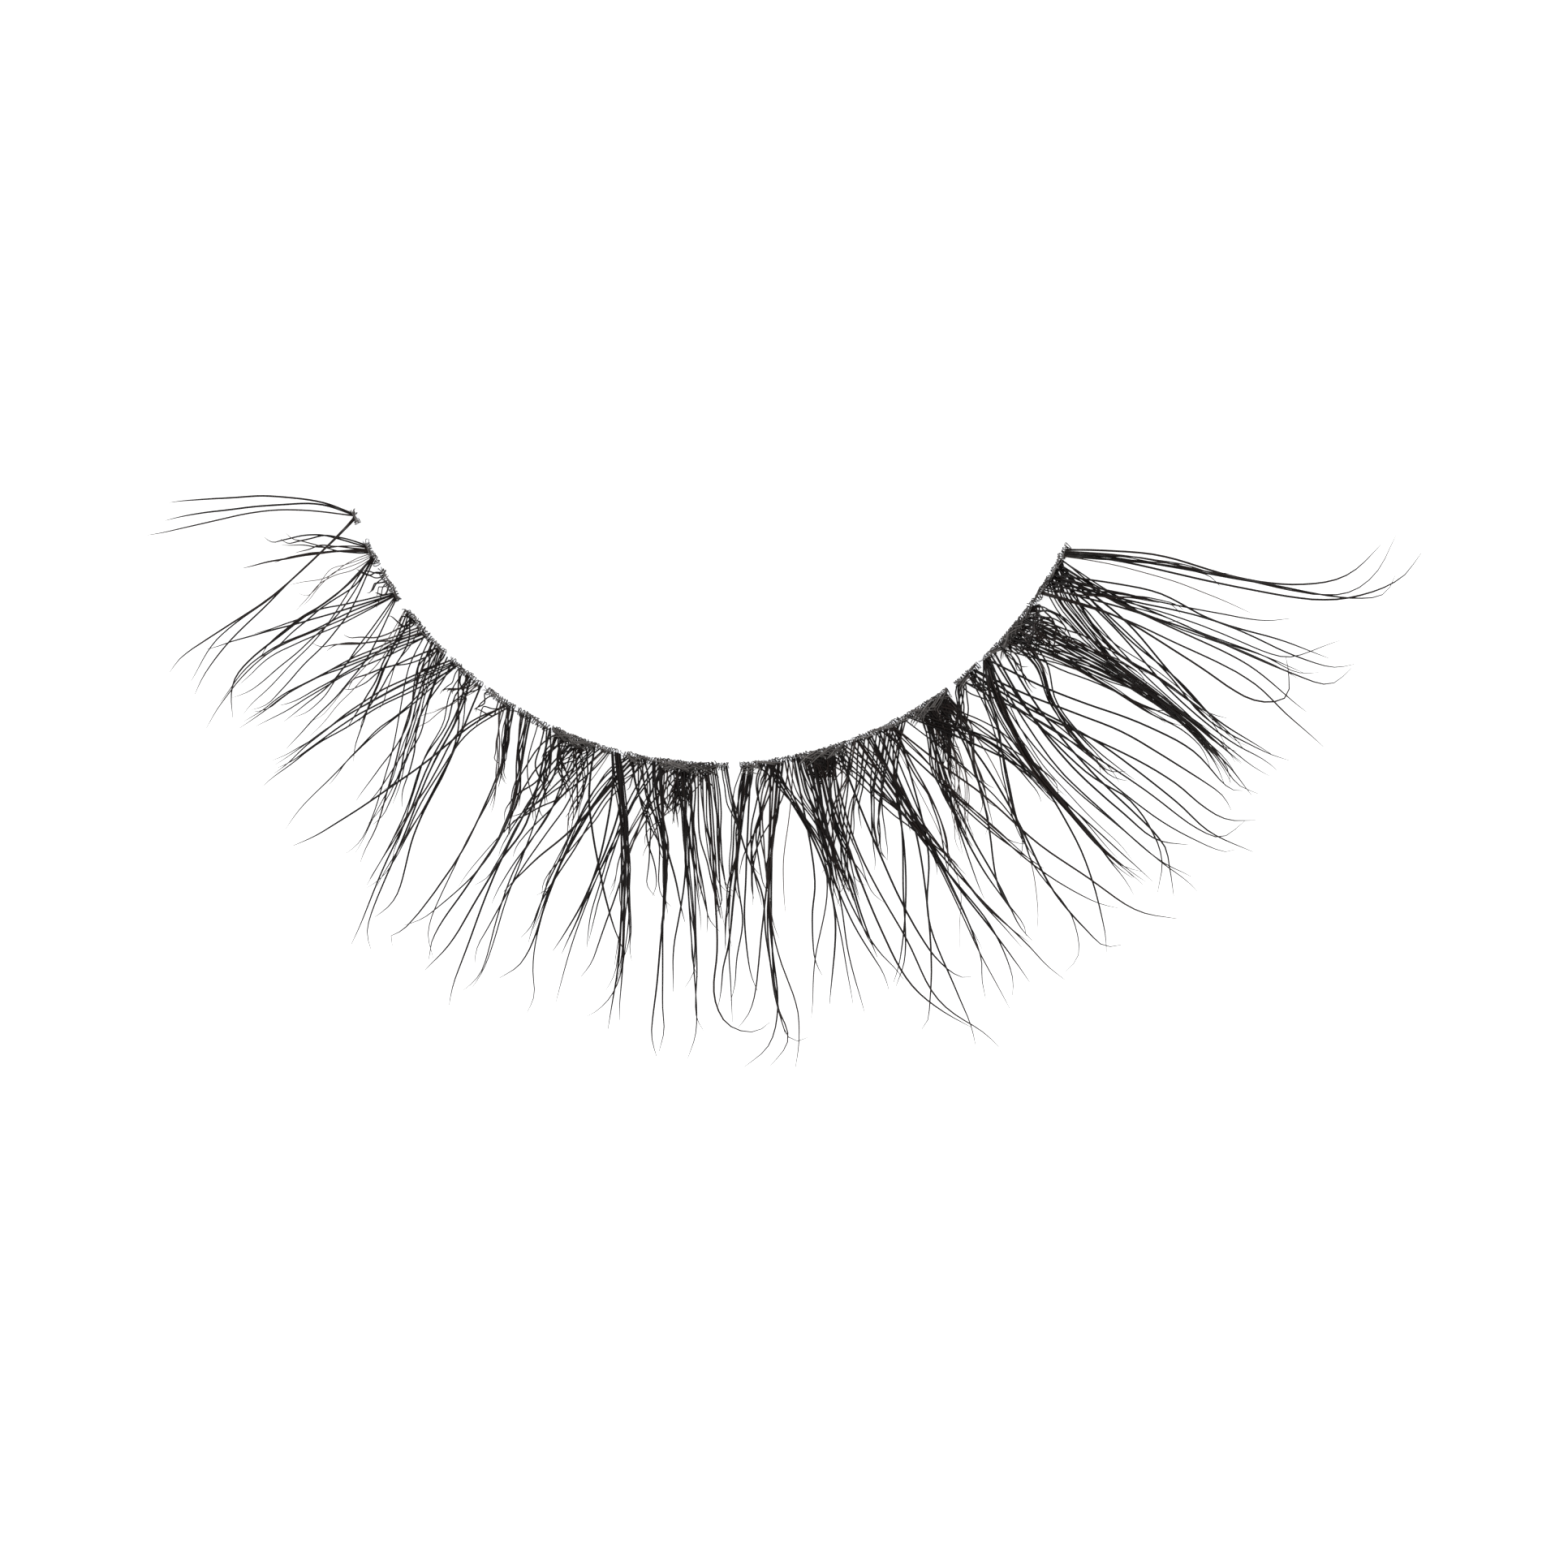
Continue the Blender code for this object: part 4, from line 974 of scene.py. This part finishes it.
class FibreTree(GeometryTree):
    """Grows tapering fibres along guide lines, each with its own root, tip, length and wander.

    Its pairs of shares say where along a fibre something sets in and where it is complete.
    """

    GUIDE_STEP = 64.0  # more than any guide has fibres, so that no two fibres get the same number
    ROOT_WOBBLE = (-0.3, 0.3)  # in steps between neighbouring roots
    MIDDLE_LOOSENESS = 0.55  # 0 keeps a fibre where its root is in the bundle, 1 lets it lie anywhere
    TIP_LOOSENESS = 0.8
    INNER_DRIFT = (0.05, 0.55)
    OUTER_DRIFT = (0.40, 1.0)
    WAVER_ONSET = (0.05, 0.6)
    WAVER_STEP = 3.71  # from one fibre to the next in the noise, so that neighbours waver differently
    WAVER_LENGTH = 2.2  # of the noise along one fibre
    HOOK_ONSET = (0.88, 1.12)
    HOOK_SHARPNESS = 1.2
    LIFT_ONSET = (0.0, 0.3)
    TAPER_POWER = 8.0  # high, so that a fibre keeps its girth till near its tip
    FINEST_GIRTH = 0.72
    GIRTH_RANGE = 0.45
    CHANCES = (
        ("middle_side", -1.0, 1.0),
        ("tip_side", -1.0, 1.0),
        ("cut", 0.0, 1.0),
        ("weight", 0.0, 1.0),
        # Per fibre: how brown it turns, partly its own tint and partly painted highlight standing for glints in a
        # bundle
        ("tint_and_sheen", 0.0, 1.0),
        ("bend", -1.0, 1.0),
        ("lift", 0.0, 1.0),
    )

    def __init__(self, name: str) -> None:
        """Builds the tree."""
        super().__init__(name)
        diameter = self.size("Fibre Diameter", "Float")
        rings = self.size("Rings", "Int")
        sides = self.size("Sides", "Int")
        loft = self.size("Loft", "Float")
        tip_share = self.size("Tip Share", "Float")
        seed = self.size("Seed", "Int")
        finish = self.size("Finish", "Material")

        spare = self.maths("SUBTRACT", 1.0, self.attribute("shortest"))
        end = self.maths("SUBTRACT", 1.0, self.maths("MULTIPLY", spare, self.attribute("cut")))
        trimmed = self.add("GeometryNodeTrimCurve", {0: self.scattered(seed), 3: end}, mode="FACTOR")
        even = self.add("GeometryNodeResampleCurve", {0: trimmed.outputs[0], 2: rings}, mode="COUNT")
        along = self.add("GeometryNodeSplineParameter").outputs[0]
        lines = self.store(even.outputs[0], "along", along, "POINT")

        shift = self.maths("ADD", self.maths("ADD", self.spread(along), self.wander(along)), self.hook(along))
        sideways = self.scaled(self.attribute("across", "FLOAT_VECTOR"), shift)
        lift = self.maths("MULTIPLY", self.attribute("lift"), loft)
        rise = self.maths("MULTIPLY", lift, self.soft_step(along, *self.LIFT_ONSET))
        upward = self.add("ShaderNodeCombineXYZ", {2: rise}).outputs[0]
        placed = self.add("GeometryNodeSetPosition", {0: lines, 3: self.total(sideways, upward)})
        swept = self.sweep(placed.outputs[0], diameter, sides, self.girth(along, tip_share))
        self.deliver(swept, finish)

    def scattered(self, seed: Any) -> Any:
        """Copies each guide once for each of its fibres, and gives each fibre its number and chances.

        Args:
            seed: the run's seed.

        Returns:
            The curves, one for each fibre.
        """
        curves = self.add("GeometryNodeMeshToCurve", {0: self.entry.outputs[0]})
        crowd = self.attribute("hairs", "INT")
        copies = self.add("GeometryNodeDuplicateElements", {0: curves.outputs[0], 2: crowd}, domain="SPLINE")
        turn = copies.outputs[1]
        before = self.maths("MULTIPLY", self.attribute("guide", "INT"), self.GUIDE_STEP)
        number = self.maths("ADD", before, turn)
        strands = self.store(copies.outputs[0], "number", number, "CURVE", "INT")
        number = self.attribute("number", "INT")
        wobble = self.chance(*self.ROOT_WOBBLE, number, seed)
        slot = self.maths("DIVIDE", self.maths("ADD", self.maths("ADD", turn, 0.5), wobble), crowd)
        side = self.maths("SUBTRACT", self.maths("MULTIPLY", slot, 2.0), 1.0)
        strands = self.store(strands, "root_side", side, "CURVE")
        for order, (label, low, high) in enumerate(self.CHANCES, start=1):
            value = self.chance(low, high, number, self.maths("ADD", seed, float(order)))
            strands = self.store(strands, label, value, "CURVE")
        return strands

    def loosened(self, name: str, looseness: float) -> bpy.types.NodeSocket:
        """Returns a fibre's side in its bundle, between its root's side and a free one of its own."""
        root_side = self.attribute("root_side")
        free = self.maths("SUBTRACT", self.attribute(name), root_side)
        return self.maths("MULTIPLY_ADD", free, looseness, root_side)

    def spread(self, along: Any) -> bpy.types.NodeSocket:
        """Returns how far beside its guide a fibre lies, from its sides at root, middle and tip."""
        root_side = self.attribute("root_side")
        middle_side = self.loosened("middle_side", self.MIDDLE_LOOSENESS)
        tip_side = self.loosened("tip_side", self.TIP_LOOSENESS)
        inner_move = self.maths("SUBTRACT", middle_side, root_side)
        outer_move = self.maths("SUBTRACT", tip_side, middle_side)
        place = self.maths("MULTIPLY_ADD", inner_move, self.soft_step(along, *self.INNER_DRIFT), root_side)
        place = self.maths("MULTIPLY_ADD", outer_move, self.soft_step(along, *self.OUTER_DRIFT), place)
        return self.maths("MULTIPLY", place, self.attribute("half_width"))

    def wander(self, along: Any) -> bpy.types.NodeSocket:
        """Returns how far a fibre wavers to the side."""
        travel = self.maths("MULTIPLY", along, self.WAVER_LENGTH)
        phase = self.maths("MULTIPLY_ADD", self.attribute("number", "INT"), self.WAVER_STEP, travel)
        noise = self.add("ShaderNodeTexNoise", {1: phase, 2: 1.0, 3: 1.0}, noise_dimensions="1D")
        swing = self.maths("SUBTRACT", noise.outputs[0], 0.5)
        free = self.maths("MULTIPLY", swing, self.attribute("waver"))
        return self.maths("MULTIPLY", free, self.soft_step(along, *self.WAVER_ONSET))

    def hook(self, along: Any) -> bpy.types.NodeSocket:
        """Returns how far a fibre's tip turns to the side, much in few fibres and little in most."""
        sharp = self.maths("POWER", self.soft_step(along, *self.HOOK_ONSET), self.HOOK_SHARPNESS)
        bend = self.attribute("bend")
        amount = self.maths("POWER", self.maths("ABSOLUTE", bend), 2.0)
        flick = self.maths("MULTIPLY", amount, self.maths("SIGN", bend))
        return self.maths("MULTIPLY", self.maths("MULTIPLY", flick, self.attribute("hook")), sharp)

    def girth(self, along: Any, tip_share: Any) -> bpy.types.NodeSocket:
        """Returns a fibre's thickness along it, as a share of a full fibre."""
        fullness = self.maths("SUBTRACT", 1.0, self.maths("POWER", along, self.TAPER_POWER))
        taper = self.maths("MULTIPLY_ADD", fullness, self.maths("SUBTRACT", 1.0, tip_share), tip_share)
        weight = self.maths("POWER", self.attribute("weight"), 0.5)
        build = self.maths("MULTIPLY_ADD", weight, self.GIRTH_RANGE, self.FINEST_GIRTH)
        return self.maths("MULTIPLY", taper, self.maths("MULTIPLY", build, self.attribute("girth")))


class KnotTree(GeometryTree):
    """Winds a leaning coil of fibre over the band at even steps along a guide line."""

    COIL_STEPS = 12  # for each turn
    TURNS = 1.6
    FLARE = 1.12  # the coil's last radius against its first
    SIDES = 5
    SPIN = 3.1  # radians that a coil may be turned about the band
    SIZES = (0.88, 1.12)  # of the smallest and the largest coil

    def __init__(self, name: str) -> None:
        """Builds the tree."""
        super().__init__(name)
        spacing = self.size("Spacing", "Float")
        radius = self.size("Coil Radius", "Float")
        diameter = self.size("Fibre Diameter", "Float")
        lean = self.size("Lean", "Float")
        floor = self.size("Floor", "Float")
        seed = self.size("Seed", "Int")
        finish = self.size("Finish", "Material")

        curve = self.add("GeometryNodeMeshToCurve", {0: self.entry.outputs[0]})
        points = self.add("GeometryNodeCurveToPoints", {0: curve.outputs[0], 2: spacing}, mode="LENGTH")
        number = self.add("GeometryNodeInputIndex").outputs[0]
        limits = ((-1.0, 1.0), (-1.0, 1.0), (-self.SPIN, self.SPIN), self.SIZES, (0.0, 1.0))
        tip, swing, spin, size, tint_and_sheen = (
            self.chance(low, high, number, self.maths("ADD", seed, float(order)))
            for order, (low, high) in enumerate(limits)
        )
        flared = self.maths("MULTIPLY", radius, self.FLARE)
        coil = self.add("GeometryNodeCurveSpiral",
                        {0: self.COIL_STEPS, 1: self.TURNS, 2: radius, 3: flared, 4: spacing})
        wound = self.sweep(coil.outputs[0], diameter, self.SIDES, 1.0)
        free = self.add("ShaderNodeCombineXYZ", {0: tip, 1: swing, 2: spin})
        held = self.add("ShaderNodeCombineXYZ", {0: lean, 1: lean, 2: 1.0})
        leaning = self.add("ShaderNodeVectorMath",
                           {0: free.outputs[0], 1: held.outputs[0]}, operation="MULTIPLY")
        turned = self.add("FunctionNodeRotateRotation",
                          {0: points.outputs["Rotation"], 1: leaning.outputs[0]}, rotation_space="LOCAL")
        coils = self.add("GeometryNodeInstanceOnPoints",
                         {0: points.outputs[0], 2: wound, 5: turned.outputs[0], 6: size})
        # Each coil gets a random browning, partly its own tint and partly painted highlight
        tint_and_sheen_coils = self.store(coils.outputs[0], "tint_and_sheen", tint_and_sheen, "INSTANCE")
        real = self.add("GeometryNodeRealizeInstances", {0: tint_and_sheen_coils})
        where = self.add("GeometryNodeInputPosition").outputs[0]
        parts = self.add("ShaderNodeSeparateXYZ", {0: where})
        above = self.maths("MAXIMUM", parts.outputs[2], floor)
        back = self.add("ShaderNodeCombineXYZ", {0: parts.outputs[0], 1: parts.outputs[1], 2: above})
        settled = self.add("GeometryNodeSetPosition", {0: real.outputs[0], 2: back.outputs[0]})
        self.deliver(settled.outputs[0], finish)


@dataclass
class ClearLine:
    """The clear nylon line that everything is knotted to."""

    arc: BandArc
    steps: int = 150
    dome_steps: int = 8
    wall_share: float = 0.45
    node: str = "band"

    def build(self, finish: bpy.types.Material) -> bpy.types.Object:
        """Builds the line as one smooth bar with a flat underside and a domed top.

        Args:
            finish: its material.

        Returns:
            The piece, riding on the only body.
        """
        section = self.section()
        rings = [[self.arc.point(WHOLE * step / self.steps, out, up) for out, up in section]
                 for step in range(self.steps + 1)]
        points = [tuple(point) for ring in rings for point in ring]
        size = len(section)
        faces: list[tuple[int, ...]] = []
        for ring in range(self.steps):
            for corner in range(size):
                there = (corner + 1) % size
                faces.append((ring * size + corner, ring * size + there,
                              (ring + 1) * size + there, (ring + 1) * size + corner))
        faces.append(tuple(reversed(range(size))))
        faces.append(tuple(self.steps * size + corner for corner in range(size)))
        mesh = bpy.data.meshes.new("clear_line")
        mesh.from_pydata(points, [], faces)
        mesh.materials.append(finish)
        mesh.update()
        mesh.shade_smooth()
        piece = linked("clear_line", mesh)
        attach(piece, "root")
        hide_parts(self.node)
        return piece

    def section(self) -> list[tuple[float, float]]:
        """Returns the section's corners as out and up, from the inner foot round to the outer one."""
        half = self.arc.width / 2
        wall = self.arc.height * self.wall_share
        corners = [(-half, 0.0)]
        for step in range(self.dome_steps + 1):
            angle = math.pi * step / self.dome_steps
            corners.append((-half * math.cos(angle), wall + (self.arc.height - wall) * math.sin(angle)))
        corners.append((half, 0.0))
        return corners


@dataclass(frozen=True)
class Streak:
    """Sizes of the roots that are laid slantwise over the knots.

    Args:
        length: its least and greatest length.
        inner: where it starts, in millimetres outside the band's middle line.
        outer: where it ends, as a share of the reach that it is given.
        top: height of its middle, in millimetres.
        fall: how much lower its ends lie.
        overrun: how far it may pass the end of its span, in percent of the band.
        waver: how far it may wander.
        girth: its least and greatest thickness, as a share of a full fibre.
        loft: how much one may lie over another.
        tip_share: thickness of its end.
        steps: steps of its guide line.
        rings: sections along it.
        sides: sides of a section.
        seed_step: what is added to the row's seed.
    """

    length: Span = (0.6 * MM, 1.4 * MM)
    inner: Span = (-0.15, -0.08)
    outer: Span = (0.5, 1.2)
    top: Span = (0.27, 0.33)
    fall: float = 0.16 * MM
    overrun: float = 0.4
    waver: float = 0.08 * MM
    girth: Span = (0.8, 1.2)
    loft: float = 0.06 * MM
    tip_share: float = 0.35
    steps: int = 6
    rings: int = 9
    sides: int = 5
    seed_step: int = 40


@dataclass
class KnotRow:
    """One run's knots: coils wound over the line, brushed over by the roots that lie along it.

    Args:
        arc: the band's arc.
        node: the run's solid.
        spans: stretches of the band that have knots, in percent.
        mats: stretches where the roots lie thick and reach further out.
        seed: source of its chances.
    """

    arc: BandArc
    node: str
    spans: tuple[Span, ...]
    mats: tuple[Span, ...]
    seed: int
    spacing: float = 0.145 * MM
    coil_radius: float = 0.128 * MM
    coil_height: float = 0.125 * MM
    fibre: float = 0.034 * MM
    lean: float = 0.45
    floor: float = 0.012 * MM
    streak: Streak = Streak()
    streaks_per_mm: float = 4.0
    mat_streaks_per_mm: float = 20.0
    least_streaks: int = 5
    reach: float = 0.11 * MM
    mat_reach: float = 0.42 * MM
    line_steps_per_percent: int = 2
    least_line_steps: int = 4

    def build(self, coils: KnotTree, strands: FibreTree, finish: bpy.types.Material) -> list[bpy.types.Object]:
        """Builds the coils and the streaks.

        Args:
            coils: tree that winds the coils.
            strands: tree that grows the streaks.
            finish: their material.

        Returns:
            The two pieces.
        """
        sizes = {"Spacing": self.spacing, "Coil Radius": self.coil_radius, "Fibre Diameter": self.fibre,
                 "Lean": self.lean, "Floor": self.floor, "Seed": self.seed, "Finish": finish}
        knots = coils.grow(self.node + "_knots", self.line(), sizes)
        sizes = {"Fibre Diameter": self.fibre, "Rings": self.streak.rings, "Sides": self.streak.sides,
                 "Loft": self.streak.loft, "Tip Share": self.streak.tip_share,
                 "Seed": self.seed + self.streak.seed_step, "Finish": finish}
        roots = strands.grow(self.node + "_roots", self.streaks(), sizes)
        for piece in (knots, roots):
            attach(piece, "root")
            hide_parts(self.node)
        return [knots, roots]

    def line(self) -> bpy.types.Mesh:
        """Returns the line along which the coils stand."""
        mesh = bpy.data.meshes.new(self.node + "_knot_line")
        points: list[tuple[float, ...]] = []
        edges: list[tuple[int, int]] = []
        for start, end in self.spans:
            steps = max(self.least_line_steps, round((end - start) * self.line_steps_per_percent))
            for step in range(steps + 1):
                if step:
                    edges.append((len(points) - 1, len(points)))
                points.append(tuple(self.arc.point(mix(start, end, step / steps), 0.0, self.coil_height)))
        mesh.from_pydata(points, edges, [])
        return mesh

    def streaks(self) -> bpy.types.Mesh:
        """Returns guides for the roots that are laid slantwise over the knots."""
        dice = random.Random(self.seed)
        guides = GuideMesh()
        for spans, per_mm, least, reach in (
            (self.spans, self.streaks_per_mm, self.least_streaks, self.reach),
            (self.mats, self.mat_streaks_per_mm, 0, self.mat_reach),
        ):
            for start, end in spans:
                millimetres = (end - start) * PERCENT * self.arc.length / MM
                for _ in range(max(least, round(millimetres * per_mm))):
                    self.add_streak(guides, dice, (start, end), reach)
        return guides.mesh(self.node + "_streaks")

    def add_streak(self, guides: GuideMesh, dice: random.Random, span: Span, reach: float) -> None:
        """Adds one root that slants over the knots.

        Args:
            guides: where it is added.
            dice: source of its chances.
            span: the lowest and highest place that its middle may take, in percent.
            reach: about how far outside the band's middle line it ends, in metres.
        """
        start, end = span
        streak = self.streak
        middle = dice.uniform(start, end)
        length = dice.uniform(*streak.length)
        half = WHOLE / 2 * length / self.arc.length
        lean = dice.choice((-1.0, 1.0))
        inner = dice.uniform(*streak.inner) * MM
        outer = dice.uniform(*streak.outer) * reach
        top = dice.uniform(*streak.top) * MM
        line = []
        for step in range(streak.steps + 1):
            share = step / streak.steps
            side = 2 * share - 1
            place = min(max(middle + lean * half * side, start - streak.overrun), end + streak.overrun)
            line.append(self.arc.point(place, mix(inner, outer, share), top - streak.fall * side**2))
        across = [self.arc.outward(middle)] * len(line)
        constants = {"shortest": 1.0, "girth": dice.uniform(*streak.girth), "tone": dice.random(),
                     "waver": streak.waver, "hook": 0.0}
        guides.add(line, across, [0.0] * len(line), constants, 1)


@dataclass(frozen=True)
class Habit:
    """How fibres grow: girth as a share of a full fibre, waver and hook in millimetres."""

    girth: float
    waver: float
    hook: float


SINGLE = Habit(1.25, 0.15, 0.5)
BUNDLED = Habit(1.0, 0.32, 0.9)


@dataclass
class LashRun:
    """One run of lashes, with every fibre that leaves its knots.

    Args:
        arc: the band's arc.
        curl: how high lashes lie.
        node: the run's solid.
        layer: the run's level, 0 for the lowest.
        tufts: its bundles and single fibres.
        seed: source of its chances.
        fibre: diameter of a full fibre.
        rings: sections along a fibre.
        sides: sides of a section.
        lowest_belly: height of the lowest level.
        layer_step: height between levels.
        lean_step: how much higher lashes lie that lean towards the outer corner.
        loft: how much one fibre may lie over another.
        tip_share: thickness of a tip.
        looseness: what the bundles' widths are multiplied by.
        free_length: length from which a lash wavers and hooks in full.
        guide_steps: steps of a guide line, shared out between the places that it passes.
        least_steps: the least between two of them.
        lone_turn: share of its length by which a lash with one place spreads square to itself.
        quickest_turn: the least such share of any lash.
    """

    arc: BandArc
    curl: Curl
    node: str
    layer: int
    tufts: tuple[Tuft, ...]
    seed: int
    fibre: float = 0.056 * MM
    rings: int = 30
    sides: int = 6
    lowest_belly: float = 0.06 * MM
    layer_step: float = 0.42 * MM
    lean_step: float = 0.18 * MM
    loft: float = 0.14 * MM
    tip_share: float = 0.22
    looseness: float = 1.9
    free_length: float = 5.0 * MM
    guide_steps: int = 24
    least_steps: int = 4
    lone_turn: float = 0.55
    quickest_turn: float = 0.1

    def build(self, strands: FibreTree, finish: bpy.types.Material) -> bpy.types.Object:
        """Grows the fibres.

        Args:
            strands: tree that grows them.
            finish: their material.

        Returns:
            The piece, which stands for the run's solid.
        """
        guides = GuideMesh()
        for bundle in self.tufts:
            self.add_guide(guides, bundle)
        sizes = {"Fibre Diameter": self.fibre, "Rings": self.rings, "Sides": self.sides, "Loft": self.loft,
                 "Tip Share": self.tip_share, "Seed": self.seed, "Finish": finish}
        piece = strands.grow(self.node + "_lashes", guides.mesh(self.node + "_guides"), sizes)
        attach(piece, "root")
        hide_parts(self.node)
        return piece

    def add_guide(self, guides: GuideMesh, bundle: Tuft) -> None:
        """Adds a bundle's guide line, with its height, spread and own habits."""
        root = sum(bundle.roots) / 2
        plan = [self.arc.point(root, 0.0)]
        plan += [self.arc.point(place, reach * MM) for place, reach in bundle.path]
        steps = max(self.least_steps, self.guide_steps // len(bundle.path))
        line = smooth_path(plan, steps)
        lengths = [0.0]
        for here, there in zip(line, line[1:]):
            lengths.append(lengths[-1] + (there - here).length)
        turned_at = lengths[steps] / lengths[-1] if len(bundle.path) > 1 else self.lone_turn
        halves = [(bundle.roots[1] - bundle.roots[0]) * 0.5 * PERCENT * self.arc.length]
        halves += [width * self.looseness * MM for width in bundle.widths]
        across = []
        widths = []
        for index in range(len(line)):
            ahead = line[min(index + 1, len(line) - 1)] - line[max(index - 1, 0)]
            ahead.normalize()
            square = Vector((-ahead.y, ahead.x, 0.0))
            share = lengths[index] / lengths[-1]
            turn = eased(share / max(turned_at, self.quickest_turn))
            direction = self.arc.onward(root).lerp(square, turn)
            across.append(direction.normalized() if direction.length > NEARLY_NOTHING else square)
            stage = min(index // steps, len(halves) - 2)
            widths.append(mix(halves[stage], halves[stage + 1], index / steps - stage))
        leans_out = bundle.path[0][0] > root
        belly = self.lowest_belly + self.layer * self.layer_step + (self.lean_step if leans_out else 0.0)
        for point in line:
            point.z = self.curl.height(self.arc.reach(point), belly)
        habit = SINGLE if bundle.hairs == 1 else BUNDLED
        freedom = min(1.0, lengths[-1] / self.free_length)
        constants = {"shortest": bundle.shortest, "girth": bundle.tone.girth * habit.girth,
                     "tone": bundle.tone.lightness, "waver": habit.waver * freedom * MM,
                     "hook": habit.hook * freedom * MM}
        guides.add(line, across, widths, constants, bundle.hairs)


@dataclass(frozen=True)
class Lamp:
    """One wide lamp, aimed at the strip."""

    name: str
    place: tuple[float, float, float]
    power: float
    size: float = 0.35

    def build(self) -> None:
        """Hangs the lamp."""
        data = bpy.data.lights.new(self.name, "AREA")
        data.energy = self.power
        data.size = self.size
        stand = linked(self.name, data)
        stand.location = self.place
        stand.rotation_euler = (-Vector(self.place)).to_track_quat("-Z", "Y").to_euler()


@dataclass
class Studio:
    """The white card, the even light and the camera straight above."""

    card_size: float = 2.0
    card_drop: float = 0.02 * MM
    frame_width: float = 58.9 * MM
    aim: tuple[float, float] = (0.0025 * MM, -0.124 * MM)
    lens: float = 600.0
    sensor: float = 36.0
    view_range: Span = (0.01, 10.0)
    sky: float = 0.55
    lamps: tuple[Lamp, ...] = (
        Lamp("left_lamp", (-0.25, 0.30, 0.45), 0.5),
        Lamp("right_lamp", (0.30, -0.10, 0.50), 0.3),
    )

    def build(self) -> None:
        """Builds the floor, lights and camera."""
        self.card()
        self.light()
        self.camera()

    def card(self) -> None:
        """Lays the card."""
        half = self.card_size / 2
        mesh = bpy.data.meshes.new("card")
        mesh.from_pydata([(-half, -half, 0.0), (half, -half, 0.0), (half, half, 0.0), (-half, half, 0.0)],
                         [], [(0, 1, 2, 3)])
        mesh.materials.append(PaperFinish().material())
        floor = linked("card", mesh)
        floor.location.z = -self.card_drop

    def light(self) -> None:
        """Sets an even white sky and the lamps."""
        world = bpy.data.worlds.new("studio")
        world.use_nodes = True
        background = world.node_tree.nodes["Background"]
        background.inputs["Color"].default_value = WHITE
        background.inputs["Strength"].default_value = self.sky
        bpy.context.scene.world = world
        for lamp in self.lamps:
            lamp.build()
        bpy.context.scene.view_settings.view_transform = "Standard"

    def camera(self) -> None:
        """Hangs the camera straight above, framed as the photograph is."""
        data = bpy.data.cameras.new("camera")
        data.lens = self.lens
        data.sensor_width = self.sensor
        data.clip_start, data.clip_end = self.view_range
        camera = linked("camera", data)
        camera.location = (*self.aim, self.frame_width * self.lens / self.sensor)
        bpy.context.scene.camera = camera


@dataclass
class LashStrip:
    """The whole strip, put together from its runs and its line."""

    arc: BandArc
    curl: Curl
    first_seed: int = 7
    run_seed_step: int = 100
    knot_seed_step: int = 17

    def runs(self) -> list[LashRun]:
        """Returns the runs of lashes, from the inner corner to the outer."""
        return [
            LashRun(self.arc, self.curl, node, layer, tufts, self.first_seed + self.run_seed_step * index)
            for index, (node, layer, tufts) in enumerate(RUNS)
        ]

    def build(self) -> list[bpy.types.Object]:
        """Builds every piece and returns them."""
        fibre = LASH_FINISH.material()
        knot = KNOT_FINISH.material()
        strands = FibreTree("lash_growth")
        coils = KnotTree("knot_winding")
        pieces = [ClearLine(self.arc).build(ClearFinish().material())]
        for run in self.runs():
            pieces.append(run.build(strands, fibre))
            spans = KNOT_SPANS[run.node]
            mats = MAT_SPANS.get(run.node, ())
            pieces += KnotRow(self.arc, run.node, spans, mats, run.seed + self.knot_seed_step).build(
                coils, strands, knot
            )
        return pieces


def report(piece: bpy.types.Object) -> None:
    """Logs a piece's name and number of triangles."""
    triangles = sum(len(polygon.vertices) - 2 for polygon in piece.data.polygons)
    LOG.info("%s: %d triangles", piece.name, triangles)


def main() -> None:
    """Loads the frame, dresses the strip and sets up the studio."""
    logging.basicConfig(level=logging.INFO, format="%(message)s")
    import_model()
    arc = BandArc.from_box(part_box("band"))
    pieces = LashStrip(arc, Curl()).build()
    for piece in pieces:
        report(piece)
    Studio().build()


if __name__ == "__main__":
    main()
